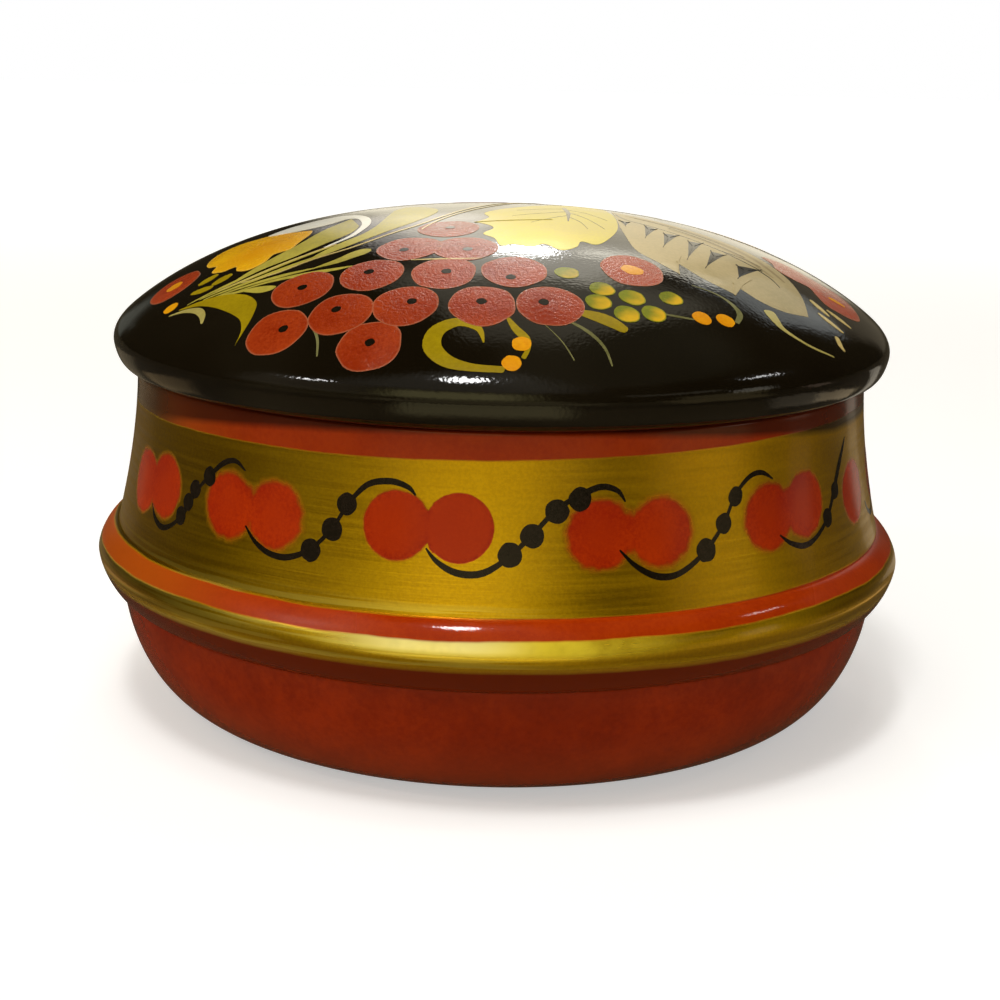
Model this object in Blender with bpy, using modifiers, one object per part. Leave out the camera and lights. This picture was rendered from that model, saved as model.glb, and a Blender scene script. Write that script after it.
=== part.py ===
"""A small round lidded box, turned from wood and lacquered.

It is two turned pieces: the box body, with a bowl-shaped foot, a bead and a flaring wall,
and a domed lid whose socket drops over the tenon at the mouth of the box.
Metres, +Z up. The origin is at the middle of the underside, on the turning axis.
"""
import math

import bpy

# Radii of the body, each built outwards or inwards from the neck under the lid
NECK_RADIUS = 0.0492
SEAT_WIDTH = 0.0036
TENON_WALL = 0.0036
WALL_FLARE = 0.0030
BEAD_PROUD = 0.0028
GROOVE_INSET = 0.0004
STAND_INSET = 0.0169
STAND_WIDTH = 0.0055

# Heights of the body, from the underside up
RECESS_DEPTH = 0.0008
FLOOR_THICKNESS = 0.0052
FOOT_HEIGHT = 0.0163
BEAD_LOWER_HEIGHT = 0.0052
BEAD_UPPER_HEIGHT = 0.0038
WALL_HEIGHT = 0.0209
TENON_HEIGHT = 0.0045

# Roundings and the bends of the curves
FLOOR_CORNER_RADIUS = 0.0090
EDGE_RADIUS = 0.0005
WALL_FLARE_POWER = 1.7
BEAD_POWER = 2.0
FOOT_IN_POWER = 3.1
FOOT_DOWN_POWER = 1.6
DOME_OUT_POWER = 2.43
DOME_UP_POWER = 1.22

# How the lid fits the body
SEAT_CLEARANCE = 0.0003
TENON_CLEARANCE = 0.0003
TENON_HEADROOM = 0.0008

# The lid, from its edge on the seat to the top of its dome
EDGE_OVERHANG = 0.0011
RIM_BULGE = 0.0020
RIM_HEIGHT = 0.0044
DOME_HEIGHT = 0.0160
HOLLOW_STEP = 0.0024
HOLLOW_RISE = 0.0080

# Facets round the turning axis, and the distance at which the turning's ends are joined
TURN_STEPS = 64
MERGE_DISTANCE = 0.00001

# Colours as linear red, green and blue, with roughness and metallic
BODY_FINISH = ((0.40, 0.21, 0.010), 0.30, 0.60)
LID_FINISH = ((0.012, 0.010, 0.007), 0.18, 0.0)

# Sizes that follow from the ones above
TENON_RADIUS = NECK_RADIUS - SEAT_WIDTH
CAVITY_RADIUS = TENON_RADIUS - TENON_WALL
CREASE_RADIUS = NECK_RADIUS + WALL_FLARE
BEAD_RADIUS = CREASE_RADIUS + BEAD_PROUD
GROOVE_RADIUS = CREASE_RADIUS - GROOVE_INSET
STAND_RADIUS = GROOVE_RADIUS - STAND_INSET
RECESS_RADIUS = STAND_RADIUS - STAND_WIDTH
FLOOR_HEIGHT = RECESS_DEPTH + FLOOR_THICKNESS
BEAD_HEIGHT = FOOT_HEIGHT + BEAD_LOWER_HEIGHT
CREASE_HEIGHT = BEAD_HEIGHT + BEAD_UPPER_HEIGHT
SEAT_HEIGHT = CREASE_HEIGHT + WALL_HEIGHT
TENON_TOP = SEAT_HEIGHT + TENON_HEIGHT
LID_HEIGHT = SEAT_HEIGHT + SEAT_CLEARANCE
LID_EDGE_RADIUS = NECK_RADIUS + EDGE_OVERHANG
LID_RADIUS = LID_EDGE_RADIUS + RIM_BULGE
SOCKET_RADIUS = TENON_RADIUS + TENON_CLEARANCE
SOCKET_DEPTH = TENON_HEIGHT - SEAT_CLEARANCE + TENON_HEADROOM
HOLLOW_RADIUS = SOCKET_RADIUS - HOLLOW_STEP


def clear_scene():
    """Removes every object from the open file."""
    for obj in list(bpy.data.objects):
        bpy.data.objects.remove(obj, do_unlink=True)


def make_collection(name):
    collection = bpy.data.collections.new(name)
    bpy.context.scene.collection.children.link(collection)
    return collection


def make_material(name, finish):
    colour, roughness, metallic = finish
    material = bpy.data.materials.new(name)
    material.use_nodes = True
    shader = material.node_tree.nodes["Principled BSDF"]
    shader.inputs["Base Color"].default_value = (*colour, 1.0)
    shader.inputs["Roughness"].default_value = roughness
    shader.inputs["Metallic"].default_value = metallic
    material.diffuse_color = (*colour, 1.0)
    return material


def ellipse_arc(centre, half_radius, half_height, start, end, steps):
    """Points (radius, height) on an ellipse about centre, from one angle to another in degrees.

    0 degrees points outwards from the turning axis and 90 degrees points up.
    """
    points = []
    for i in range(steps + 1):
        angle = math.radians(start + (end - start) * i / steps)
        radius = centre[0] + half_radius * math.cos(angle)
        points.append((radius, centre[1] + half_height * math.sin(angle)))
    return points


def lame_curve(across_power, up_power, steps):
    """Points (across, up) with across ** across_power + up ** up_power = 1, from (0, 1) to (1, 0).

    Powers of 2 give a quarter of a circle, and higher ones a squarer shoulder.
    """
    points = []
    for i in range(steps + 1):
        angle = math.radians(90 * i / steps)
        across = math.sin(angle) ** (2 / across_power)
        points.append((across, max(math.cos(angle), 0.0) ** (2 / up_power)))
    return points


def wall_curve(steps):
    """The waisted wall, from under the lid's seat down to the crease above the bead."""
    points = []
    top = SEAT_HEIGHT - EDGE_RADIUS
    for i in range(steps + 1):
        t = i / steps
        radius = NECK_RADIUS + WALL_FLARE * t ** WALL_FLARE_POWER
        points.append((radius, top + (CREASE_HEIGHT - top) * t))
    return points


def bead_curve(upper_steps, lower_steps):
    """The bead, a rounded ridge, from the crease over its widest line to the groove under it."""
    points = []
    for out, up in lame_curve(BEAD_POWER, BEAD_POWER, upper_steps):
        points.append((CREASE_RADIUS + BEAD_PROUD * out, BEAD_HEIGHT + BEAD_UPPER_HEIGHT * up))
    depth = BEAD_RADIUS - GROOVE_RADIUS
    for down, out in lame_curve(BEAD_POWER, BEAD_POWER, lower_steps)[1:]:
        points.append((GROOVE_RADIUS + depth * out, BEAD_HEIGHT - BEAD_LOWER_HEIGHT * down))
    return points


def foot_curve(steps):
    """The bowl-shaped foot, from the groove under the bead round to the edge it stands on."""
    points = []
    for down, out in lame_curve(FOOT_DOWN_POWER, FOOT_IN_POWER, steps):
        points.append((STAND_RADIUS + STAND_INSET * out, FOOT_HEIGHT * (1 - down)))
    return points


def dome_curve(steps):
    """The top of the lid, from the middle of the dome out to the widest line of its rim."""
    points = []
    for across, up in lame_curve(DOME_OUT_POWER, DOME_UP_POWER, steps):
        points.append((LID_RADIUS * across, RIM_HEIGHT + DOME_HEIGHT * up))
    return points


def body_profile():
    """The body's section, from the middle of the inner floor, over the mouth, to the underside."""
    corner = FLOOR_CORNER_RADIUS
    edge = EDGE_RADIUS
    points = [(0, FLOOR_HEIGHT)]
    points += ellipse_arc((CAVITY_RADIUS - corner, FLOOR_HEIGHT + corner), corner, corner, -90, 0, 6)
    points += ellipse_arc((CAVITY_RADIUS + edge, TENON_TOP - edge), edge, edge, 180, 90, 3)
    points += ellipse_arc((TENON_RADIUS - edge, TENON_TOP - edge), edge, edge, 90, 0, 3)
    points.append((TENON_RADIUS, SEAT_HEIGHT))
    points += ellipse_arc((NECK_RADIUS - edge, SEAT_HEIGHT - edge), edge, edge, 90, 0, 3)[:-1]
    points += wall_curve(9)[:-1]
    points += bead_curve(6, 7)[:-1]
    points += foot_curve(14)
    points.append((RECESS_RADIUS, 0))
    points.append((RECESS_RADIUS - RECESS_DEPTH, RECESS_DEPTH))
    points.append((0, RECESS_DEPTH))
    return points


def lid_profile():
    """The lid's section, from the top of the dome, round the rim, to the middle of its hollow.

    Heights are from the lid's flat edge, which is also where the lid's origin lies.
    """
    edge = EDGE_RADIUS
    points = dome_curve(15)[:-1]
    points += ellipse_arc((LID_EDGE_RADIUS, RIM_HEIGHT), RIM_BULGE, RIM_HEIGHT, 0, -90, 7)
    points += ellipse_arc((SOCKET_RADIUS + edge, edge), edge, edge, -90, -180, 3)
    points.append((SOCKET_RADIUS, SOCKET_DEPTH))
    points += ellipse_arc((0, SOCKET_DEPTH), HOLLOW_RADIUS, HOLLOW_RISE, 0, 90, 10)
    return points


def turn(name, profile, material, collection):
    """An object turned about Z from a profile of (radius, height) points."""
    on_axis = MERGE_DISTANCE / 10
    vertices = [(0.0 if radius < on_axis else radius, 0.0, height) for radius, height in profile]
    edges = [(i, i + 1) for i in range(len(vertices) - 1)]
    mesh = bpy.data.meshes.new(name)
    mesh.from_pydata(vertices, edges, [])
    mesh.materials.append(material)
    obj = bpy.data.objects.new(name, mesh)
    collection.objects.link(obj)
    screw = obj.modifiers.new("Turning", "SCREW")
    screw.axis = "Z"
    screw.angle = math.radians(360)
    screw.steps = TURN_STEPS
    screw.render_steps = TURN_STEPS
    screw.use_merge_vertices = True
    screw.merge_threshold = MERGE_DISTANCE
    screw.use_smooth_shade = True
    return obj


def make_body(collection):
    material = make_material("body_lacquer", BODY_FINISH)
    return turn("box_body", body_profile(), material, collection)


def make_lid(collection, body):
    """The lid, seated on the body and carried by it. It lifts off along Z."""
    material = make_material("lid_lacquer", LID_FINISH)
    lid = turn("lid", lid_profile(), material, collection)
    lid.location = (0.0, 0.0, LID_HEIGHT)
    lid.parent = body
    return lid


def main():
    clear_scene()
    collection = make_collection("lacquer_trinket_box")
    body = make_body(collection)
    make_lid(collection, body)


main()
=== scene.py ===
"""Looks of a small round box, turned from wood, painted and lacquered, with a domed lid.

Both turned pieces are made again as smooth shapes of the sizes that the frame gives, and the
painting is laid on them as thin films of paint. Sizes here are in millimetres.
The dome is painted on as if it were rolled out flat: a place on it is (x, y), its distance along
the surface from the middle of the dome, with x to the right and -y towards the photographed side.
A place on the wall is (angle, height), with 0 degrees at the photographed side.
"""
import math

import bpy
import numpy as np
from mathutils import Euler, Matrix, Vector, noise


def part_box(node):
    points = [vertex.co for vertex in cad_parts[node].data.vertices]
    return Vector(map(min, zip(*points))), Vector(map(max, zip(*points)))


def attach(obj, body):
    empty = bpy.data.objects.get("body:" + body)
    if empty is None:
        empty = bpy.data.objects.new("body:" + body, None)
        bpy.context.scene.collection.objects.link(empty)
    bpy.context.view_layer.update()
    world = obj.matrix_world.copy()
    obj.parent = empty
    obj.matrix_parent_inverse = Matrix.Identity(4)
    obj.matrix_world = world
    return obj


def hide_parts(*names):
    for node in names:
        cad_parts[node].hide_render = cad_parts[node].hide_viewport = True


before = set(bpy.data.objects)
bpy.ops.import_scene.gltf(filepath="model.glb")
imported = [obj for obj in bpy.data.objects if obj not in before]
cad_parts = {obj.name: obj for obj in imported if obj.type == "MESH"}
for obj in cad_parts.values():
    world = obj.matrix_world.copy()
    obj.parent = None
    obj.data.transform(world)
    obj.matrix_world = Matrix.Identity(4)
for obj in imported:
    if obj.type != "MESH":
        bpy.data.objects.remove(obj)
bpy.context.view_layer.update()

MM = 0.001
BODY_LOW, BODY_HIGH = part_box("box_body")
LID_LOW, LID_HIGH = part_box("lid")

# Radii of the body, from the bead inwards
BEAD_RADIUS = BODY_HIGH.x / MM
CREASE_RADIUS = BEAD_RADIUS - 2.8
GROOVE_RADIUS = CREASE_RADIUS - 0.4
NECK_RADIUS = CREASE_RADIUS - 3.0
TENON_RADIUS = NECK_RADIUS - 3.6
CAVITY_RADIUS = TENON_RADIUS - 3.6
STAND_INSET = 16.9
STAND_RADIUS = GROOVE_RADIUS - STAND_INSET
RECESS_RADIUS = STAND_RADIUS - 5.5

# Heights of the body
TENON_TOP = BODY_HIGH.z / MM
SEAT_HEIGHT = TENON_TOP - 4.5
CREASE_HEIGHT = SEAT_HEIGHT - 20.9
BEAD_UPPER = 3.8
BEAD_LOWER = 5.2
BEAD_HEIGHT = CREASE_HEIGHT - BEAD_UPPER
FOOT_HEIGHT = BEAD_HEIGHT - BEAD_LOWER
RECESS_DEPTH = 0.8
FLOOR_HEIGHT = RECESS_DEPTH + 5.2

# The lid
LID_RADIUS = LID_HIGH.x / MM
RIM_BULGE = 2.0
RIM_RADIUS = LID_RADIUS - RIM_BULGE
LID_EDGE = LID_LOW.z / MM
RIM_HEIGHT = LID_EDGE + 4.4
DOME_RISE = LID_HIGH.z / MM - RIM_HEIGHT
SOCKET_RADIUS = TENON_RADIUS + 0.3
SOCKET_CEILING = LID_EDGE + 5.0
HOLLOW_RADIUS = SOCKET_RADIUS - 2.4
HOLLOW_RISE = 8.0

# Roundings, the slope at the foot of the tenon, how far below the mouth the cavity's wall has a ring
# of points, and the bends of the curves
FLOOR_CORNER = 9.0
EDGE = 0.5
TENON_SLOPE = 0.2
MOUTH_RING = 8
WALL_POWER = 1.7
BEAD_POWER = 1.5
FOOT_IN_POWER = 3.1
FOOT_DOWN_POWER = 1.6
DOME_OUT_POWER = 2.43
DOME_UP_POWER = 1.22
# Where the dome starts to round over its edge, above the widest line, and where that ends below it
ROUND_ABOVE = 2.5
ROUND_BELOW = 1.6

# How finely the pieces are turned
BODY_STEPS = 360
LID_STEPS = 300

# The painted lines round the body, as (height, rise to the right)
UPPER_LINE = (42.9, 1.1)
CREASE_LINE = (CREASE_HEIGHT, 0.3)
BEAD_LINE = (23.2, 0.3)
BEAD_UNDER_LINE = (20.05, -0.3)
# The painted shadow of the lid on the wall under it: how far down it reaches at the front, lower at
# the sides, and its limit
LID_SHADOW_LEVEL = 46.0
LID_SHADOW_BOW = 5.4
LID_SHADOW_LOWEST = 42.6

# The berry pairs round the wall: the angle of the front one, the pairs that stand at the back, and
# half the angle between the berries of a pair. Then the radius of a berry
PAIRS = 14
FIRST_PAIR = -9.05
PAIR_STEP = 360 / PAIRS
BACK_PAIRS = range(4, PAIRS - 2)
HALF_PAIR = 4.1
BAND_BERRY = 3.95
# The berries that the photograph shows, as (angle, height, crispness of the edge)
SEEN_BERRIES = [(-62.7, 33.6, 0.6), (-55.1, 34.2, 0.6), (-39.4, 34.5, 0.45), (-31.2, 34.5, 0.45),
                (-13.2, 35.1, 1.4), (-5.0, 35.2, 3.0), (13.4, 34.5, 0.5), (21.7, 34.4, 0.45),
                (39.8, 34.4, 0.5), (47.6, 34.9, 0.7), (63.6, 33.9, 0.7), (79.0, 34.0, 0.7)]
# Tendrils stand between the pairs, with one place left bare beside the first at the left
TENDRIL_PLACES = PAIRS - 1
# The seen tendrils from the left: their points (angle, height, width), dots (angle, height, radius)
TENDRILS = [
    ([(-58.6, 31.4, 0.2), (-57.0, 29.9, 0.6), (-54.4, 29.2, 0.75), (-51.6, 30.0, 0.6),
      (-48.7, 32.2, 0.5), (-46.6, 35.0, 0.5), (-43.8, 37.4, 0.55), (-41.2, 39.2, 0.7),
      (-38.8, 39.8, 0.6), (-36.8, 38.9, 0.2)],
     [(-49.6, 31.5, 1.15), (-48.2, 33.4, 1.1), (-46.9, 35.2, 1.15), (-43.9, 37.2, 1.2)]),
    ([(-35.9, 32.6, 0.2), (-33.9, 31.0, 0.55), (-31.2, 30.0, 0.7), (-28.2, 30.0, 0.75),
      (-24.9, 31.4, 0.55), (-22.0, 34.1, 0.5), (-20.0, 37.0, 0.5), (-17.4, 39.4, 0.7),
      (-14.3, 40.0, 0.75), (-11.9, 39.5, 0.6), (-10.8, 38.6, 0.2)],
     [(-25.0, 31.2, 1.3), (-22.1, 33.9, 1.35), (-20.2, 37.0, 1.3)]),
    ([(-9.2, 32.8, 0.2), (-7.6, 31.3, 0.6), (-5.0, 30.2, 0.8), (-1.8, 30.3, 0.8), (1.4, 32.1, 0.6),
      (4.5, 34.7, 0.6), (7.5, 37.4, 0.6), (10.4, 38.9, 0.7), (13.4, 39.9, 0.75), (15.7, 39.4, 0.6),
      (16.8, 38.1, 0.2)],
     [(1.6, 32.4, 1.45), (4.4, 34.5, 1.4), (7.6, 37.3, 1.45), (10.6, 38.6, 1.4)]),
    ([(15.9, 32.7, 0.2), (18.2, 30.7, 0.6), (21.2, 29.4, 0.8), (24.4, 29.6, 0.7), (28.3, 31.7, 0.6),
      (31.5, 34.6, 0.5), (33.6, 37.6, 0.5), (36.2, 39.5, 0.6), (38.6, 39.8, 0.6), (40.8, 38.8, 0.2)],
     [(28.4, 31.8, 1.35), (31.5, 34.6, 1.2), (33.7, 37.5, 1.15)]),
    ([(41.6, 32.0, 0.2), (43.8, 30.7, 0.6), (46.8, 30.0, 0.75), (50.0, 30.6, 0.6), (53.4, 32.4, 0.6),
      (55.9, 35.0, 0.85), (58.0, 37.6, 0.95), (59.9, 39.7, 0.7), (61.2, 41.2, 0.2)],
     [(53.4, 32.3, 1.2), (56.4, 35.2, 1.1)]),
]

# How high each coat of paint stands on the lacquer, and how far it reaches into it
LOW_COAT = 0.014
COAT_STEP = 0.006
COAT_DEPTH = 0.05
# Points of a film that are closer than this are joined, in metres
MERGE = 0.0000002
# How far ahead the slope of the dome is taken
SLOPE_STEP = 0.2
# The points of a round dab's outline, and the scale of its wandering
DISC_POINTS = 16
DISC_WANDER_SCALE = 0.3


def arc(centre, half_radius, half_height, start, end, steps):
    """Points (radius, height) on an ellipse, from one angle to another in degrees, 90 being up."""
    points = []
    for i in range(steps + 1):
        angle = math.radians(start + (end - start) * i / steps)
        height = centre[1] + half_height * math.sin(angle)
        points.append((centre[0] + half_radius * math.cos(angle), height))
    return points


def lame(across_power, up_power, steps):
    """Points (across, up) with across ** across_power + up ** up_power = 1, from (0, 1) to (1, 0)."""
    points = []
    for i in range(steps + 1):
        angle = math.radians(90 * i / steps)
        across = math.sin(angle) ** (2 / across_power)
        points.append((across, max(math.cos(angle), 0.0) ** (2 / up_power)))
    return points


def wall_radius(height):
    top = SEAT_HEIGHT - EDGE
    share = min(max((top - height) / (top - CREASE_HEIGHT), 0), 1)
    return NECK_RADIUS + (CREASE_RADIUS - NECK_RADIUS) * share ** WALL_POWER


def wall_line(steps):
    top = SEAT_HEIGHT - EDGE
    heights = [top + (CREASE_HEIGHT - top) * i / steps for i in range(steps + 1)]
    return [(wall_radius(height), height) for height in heights]


def bead_line():
    line = []
    for out, up in lame(BEAD_POWER, BEAD_POWER, 20):
        line.append((CREASE_RADIUS + (BEAD_RADIUS - CREASE_RADIUS) * out, BEAD_HEIGHT + BEAD_UPPER * up))
    for down, out in lame(BEAD_POWER, BEAD_POWER, 20)[1:]:
        line.append((GROOVE_RADIUS + (BEAD_RADIUS - GROOVE_RADIUS) * out, BEAD_HEIGHT - BEAD_LOWER * down))
    return line


def foot_line(steps):
    line = []
    for down, out in lame(FOOT_DOWN_POWER, FOOT_IN_POWER, steps):
        line.append((STAND_RADIUS + STAND_INSET * out, FOOT_HEIGHT * (1 - down)))
    return line


def dome_line(steps):
    line = []
    for across, up in lame(DOME_OUT_POWER, DOME_UP_POWER, steps):
        line.append((LID_RADIUS * across, RIM_HEIGHT + DOME_RISE * up))
    return line


def rim_line(steps):
    return arc((RIM_RADIUS, RIM_HEIGHT), RIM_BULGE, RIM_HEIGHT - LID_EDGE, 0, -90, steps)


def lid_outside(steps):
    """The outside of the lid: its dome, which rounds over softly at the edge, and the rim under it."""
    line = [point for point in dome_line(steps) if point[1] > RIM_HEIGHT + ROUND_ABOVE]
    rim = [point for point in rim_line(steps // 5) if point[1] < RIM_HEIGHT - ROUND_BELOW]
    start, end = np.array(line[-1]), np.array(rim[0])
    leaving, arriving = start - line[-2], np.array(rim[1]) - end
    reach = np.linalg.solve(np.column_stack((leaving, arriving)), end - start)[0]
    corner = start + leaving * reach
    for i in range(1, 20):
        t = i / 20
        line.append(tuple((1 - t) ** 2 * start + 2 * t * (1 - t) * corner + t * t * end))
    return line + rim


def body_section():
    """The body's section, from the middle of the inner floor over the mouth to the underside."""
    corner = FLOOR_CORNER
    line = [(0, FLOOR_HEIGHT), (CAVITY_RADIUS - 2 * corner, FLOOR_HEIGHT)]
    line += arc((CAVITY_RADIUS - corner, FLOOR_HEIGHT + corner), corner, corner, -90, 0, 16)
    line.append((CAVITY_RADIUS, TENON_TOP - MOUTH_RING))
    line += arc((CAVITY_RADIUS + EDGE, TENON_TOP - EDGE), EDGE, EDGE, 180, 90, 5)
    line += arc((TENON_RADIUS - EDGE, TENON_TOP - EDGE), EDGE, EDGE, 90, 0, 5)
    line.append((TENON_RADIUS, SEAT_HEIGHT + TENON_SLOPE))
    line.append((TENON_RADIUS + TENON_SLOPE, SEAT_HEIGHT))
    line += arc((NECK_RADIUS - EDGE, SEAT_HEIGHT - EDGE), EDGE, EDGE, 90, 0, 5)[:-1]
    line += wall_line(34)[:-1]
    line += bead_line()[:-1]
    line += foot_line(40)
    line.append((RECESS_RADIUS, 0))
    line.append((RECESS_RADIUS - RECESS_DEPTH, RECESS_DEPTH))
    line.append((0, RECESS_DEPTH))
    return line


def lid_section():
    """The lid's section, from the top of the dome round the rim to the middle of its hollow."""
    line = lid_outside(84)
    line += arc((SOCKET_RADIUS + EDGE, LID_EDGE + EDGE), EDGE, EDGE, -90, -180, 5)
    line.append((SOCKET_RADIUS, SOCKET_CEILING))
    line += arc((0, SOCKET_CEILING), HOLLOW_RADIUS, HOLLOW_RISE, 0, 90, 30)
    return line


def nothing_selected():
    if bpy.context.mode != "OBJECT":
        bpy.ops.object.mode_set(mode="OBJECT")
    bpy.ops.object.select_all(action="DESELECT")


def turn(name, section, steps):
    """A piece turned on the lathe: its section is drawn point by point and spun about the axis."""
    nothing_selected()
    radius, height = section[0]
    bpy.ops.mesh.primitive_plane_add(size=MM, location=(radius * MM, 0, height * MM))
    piece = bpy.context.object
    piece.name = piece.data.name = name
    bpy.ops.object.transform_apply(location=True)
    bpy.ops.object.mode_set(mode="EDIT")
    bpy.ops.mesh.select_all(action="SELECT")
    bpy.ops.mesh.merge(type="CENTER")
    for (r0, z0), (r1, z1) in zip(section[:-1], section[1:]):
        step = ((r1 - r0) * MM, 0, (z1 - z0) * MM)
        bpy.ops.mesh.extrude_region_move(TRANSFORM_OT_translate={"value": step})
    bpy.ops.mesh.select_all(action="SELECT")
    bpy.ops.mesh.spin(steps=steps, angle=math.radians(360), center=(0, 0, 0), axis=(0, 0, 1))
    bpy.ops.mesh.select_all(action="SELECT")
    bpy.ops.mesh.remove_doubles(threshold=MM / 1000)
    bpy.ops.mesh.normals_make_consistent(inside=False)
    bpy.ops.object.mode_set(mode="OBJECT")
    bpy.ops.object.shade_smooth_by_angle(angle=math.radians(35))
    return piece


def give_faces(piece, material, belongs):
    """Gives another material to the faces whose middle (radius, height) and normal belong to it."""
    piece.data.materials.append(material)
    index = len(piece.data.materials) - 1
    for face in piece.data.polygons:
        middle = face.center / MM
        if belongs(math.hypot(middle.x, middle.y), middle.z, face.normal):
            face.material_index = index


# The dome and rim of the lid as a line: length along it from the middle, radius and height
LID_LINE = np.array(lid_outside(1200))
LID_LENGTHS = np.concatenate([[0], np.cumsum(np.hypot(*np.diff(LID_LINE, axis=0).T))])


def on_dome(x, y, lift):
    """The point of the lid, in metres, that lies at (x, y) on the rolled-out dome."""
    length = math.hypot(x, y)
    ends = (length, length + SLOPE_STEP)
    radius, ahead = np.interp(ends, LID_LENGTHS, LID_LINE[:, 0])
    height, below = np.interp(ends, LID_LENGTHS, LID_LINE[:, 1])
    slope = math.atan2(height - below, ahead - radius)
    out = radius + lift * math.sin(slope)
    turned = (x / length, y / length) if length > 0 else (0, 0)
    return Vector((turned[0] * out, turned[1] * out, height + lift * math.cos(slope))) * MM


def on_wall(angle, height, lift):
    """The point of the wall, in metres, at an angle in degrees and a height."""
    radius = wall_radius(height) + lift
    turned = math.radians(angle)
    return Vector((radius * math.sin(turned), -radius * math.cos(turned), height)) * MM


def along(points, share, closed=False):
    """The point at a share of a smooth line through points, which hold any count of numbers."""
    spans = len(points) if closed else len(points) - 1
    span = min(int(share * spans), spans - 1)
    t = share * spans - span
    if closed:
        near = [points[(span + k) % len(points)] for k in (-1, 0, 1, 2)]
    else:
        near = [points[min(max(span + k, 0), len(points) - 1)] for k in (-1, 0, 1, 2)]
    a, b, c, d = (np.array(point, float) for point in near)
    rise, bend, twist = c - a, 2 * a - 5 * b + 4 * c - d, 3 * b - a - 3 * c + d
    return b + t * rise / 2 + t * t * bend / 2 + t ** 3 * twist / 2


def patch(columns, rows, place):
    """A patch of paint: a grid whose points are put where place(u, v) says, each from 0 to 1."""
    nothing_selected()
    bpy.ops.mesh.primitive_grid_add(x_subdivisions=columns, y_subdivisions=rows, size=1)
    piece = bpy.context.object
    for vertex in piece.data.vertices:
        vertex.co = place(vertex.co.x + 0.5, vertex.co.y + 0.5)
    return piece


def faces_for(length, density, least, most=200):
    """How many faces lie along a length in millimetres."""
    return min(max(int(length * density), least), most)


def round_end(distance, width):
    """How much of its width a stroke has at a distance from its round end."""
    reach = max(width / 2, 0.05)
    return math.sqrt(1 - (1 - min(distance / reach, 1)) ** 2)


def stroke(surface, points, coat):
    """A brush stroke through points (x, y, width). It ends round where it is wide."""
    first, last = np.array(points[0], float), np.array(points[-1], float)
    stops = [along(points, k / 20) for k in range(21)]
    length = sum(math.hypot(*(b - a)[:2]) for a, b in zip(stops[:-1], stops[1:]))
    lift = LOW_COAT + coat * COAT_STEP

    def place(u, v):
        u = (1 - math.cos(math.pi * u)) / 2
        x, y, width = along(points, u)
        ahead, behind = along(points, min(u + 0.01, 1)), along(points, max(u - 0.01, 0))
        run, rise = ahead[0] - behind[0], ahead[1] - behind[1]
        size = math.hypot(run, rise)
        width *= round_end(u * length, first[2]) * round_end((1 - u) * length, last[2])
        side = (v - 0.5) * width / size
        return surface(x - rise * side, y + run * side, lift)

    return patch(faces_for(length, 2.2, 12, 90), 5, place)


def dab(surface, centre, outline, coat):
    """A dab of paint that fills a closed smooth outline, which is seen whole from its centre."""
    middle = np.array(centre, float)
    area = sum(a[0] * b[1] - b[0] * a[1] for a, b in zip(outline, outline[1:] + outline[:1]))
    turned = outline if area < 0 else outline[::-1]
    reach = max(math.hypot(*(np.array(point) - middle)) for point in outline)
    lift = LOW_COAT + coat * COAT_STEP

    def place(u, v):
        edge = along(turned, u, closed=True)
        return surface(*(middle + (edge - middle) * v), lift)

    return patch(faces_for(reach, 9, 32), faces_for(reach, 1.3, 5), place)


def leaf(surface, upper, lower, coat):
    """A leaf between its upper and its lower edge. A point that is given twice makes a sharp corner."""
    reach = max(math.hypot(a[0] - b[0], a[1] - b[1]) for a in upper for b in lower)
    spans = [along(upper, k / 10) - along(lower, k / 10) for k in range(11)]
    width = max(math.hypot(*span) for span in spans)
    lift = LOW_COAT + coat * COAT_STEP

    def place(u, v):
        above, below = along(upper, u), along(lower, u)
        return surface(*(below + (above - below) * v), lift)

    return patch(faces_for(reach, 3.5, 16, 130), faces_for(width, 1.4, 6), place)


def turned_round(points, degrees):
    """A motif's points, turned about the middle of the lid. What follows x and y stays as it is."""
    c, s = math.cos(math.radians(degrees)), math.sin(math.radians(degrees))
    return [(x * c - y * s, x * s + y * c, *rest) for x, y, *rest in points]


def disc(surface, x, y, radius, coat, wander=0.03, tall=1.0):
    """A round dab. Its outline wanders by a share of its radius, and tall stretches its height."""
    outline = []
    for k in range(DISC_POINTS):
        angle = math.radians(360 / DISC_POINTS * k)
        spot = Vector((x + 5 * math.cos(angle), y + 5 * math.sin(angle), radius)) * DISC_WANDER_SCALE
        r = radius * (1 + wander * noise.noise(spot))
        outline.append((x + r * math.cos(angle), y + r * tall * math.sin(angle)))
    return dab(surface, (x, y), outline, coat)


def finish_paint(name, patches, material, body):
    """Joins patches into one piece, closes them as thin films of paint and hangs it on its body."""
    nothing_selected()
    for piece in patches:
        piece.select_set(True)
    bpy.context.view_layer.objects.active = patches[0]
    bpy.ops.object.join()
    paint = bpy.context.object
    paint.name = paint.data.name = name
    bpy.ops.object.mode_set(mode="EDIT")
    bpy.ops.mesh.select_all(action="SELECT")
    bpy.ops.mesh.remove_doubles(threshold=MERGE)
    bpy.ops.mesh.dissolve_degenerate(threshold=MERGE)
    bpy.ops.object.mode_set(mode="OBJECT")
    film = paint.modifiers.new("Film", "SOLIDIFY")
    film.thickness = COAT_DEPTH * MM
    film.offset = -1
    bpy.ops.object.modifier_apply(modifier="Film")
    bpy.ops.object.shade_smooth_by_angle(angle=math.radians(50))
    paint.data.materials.clear()
    paint.data.materials.append(material)
    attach(paint, body)
    return paint


# Materials

def give(tree, socket, value):
    """Sets a node's input to a value, or links it to another node's output."""
    if isinstance(value, bpy.types.NodeSocket):
        tree.links.new(value, socket)
    else:
        socket.default_value = value


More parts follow.
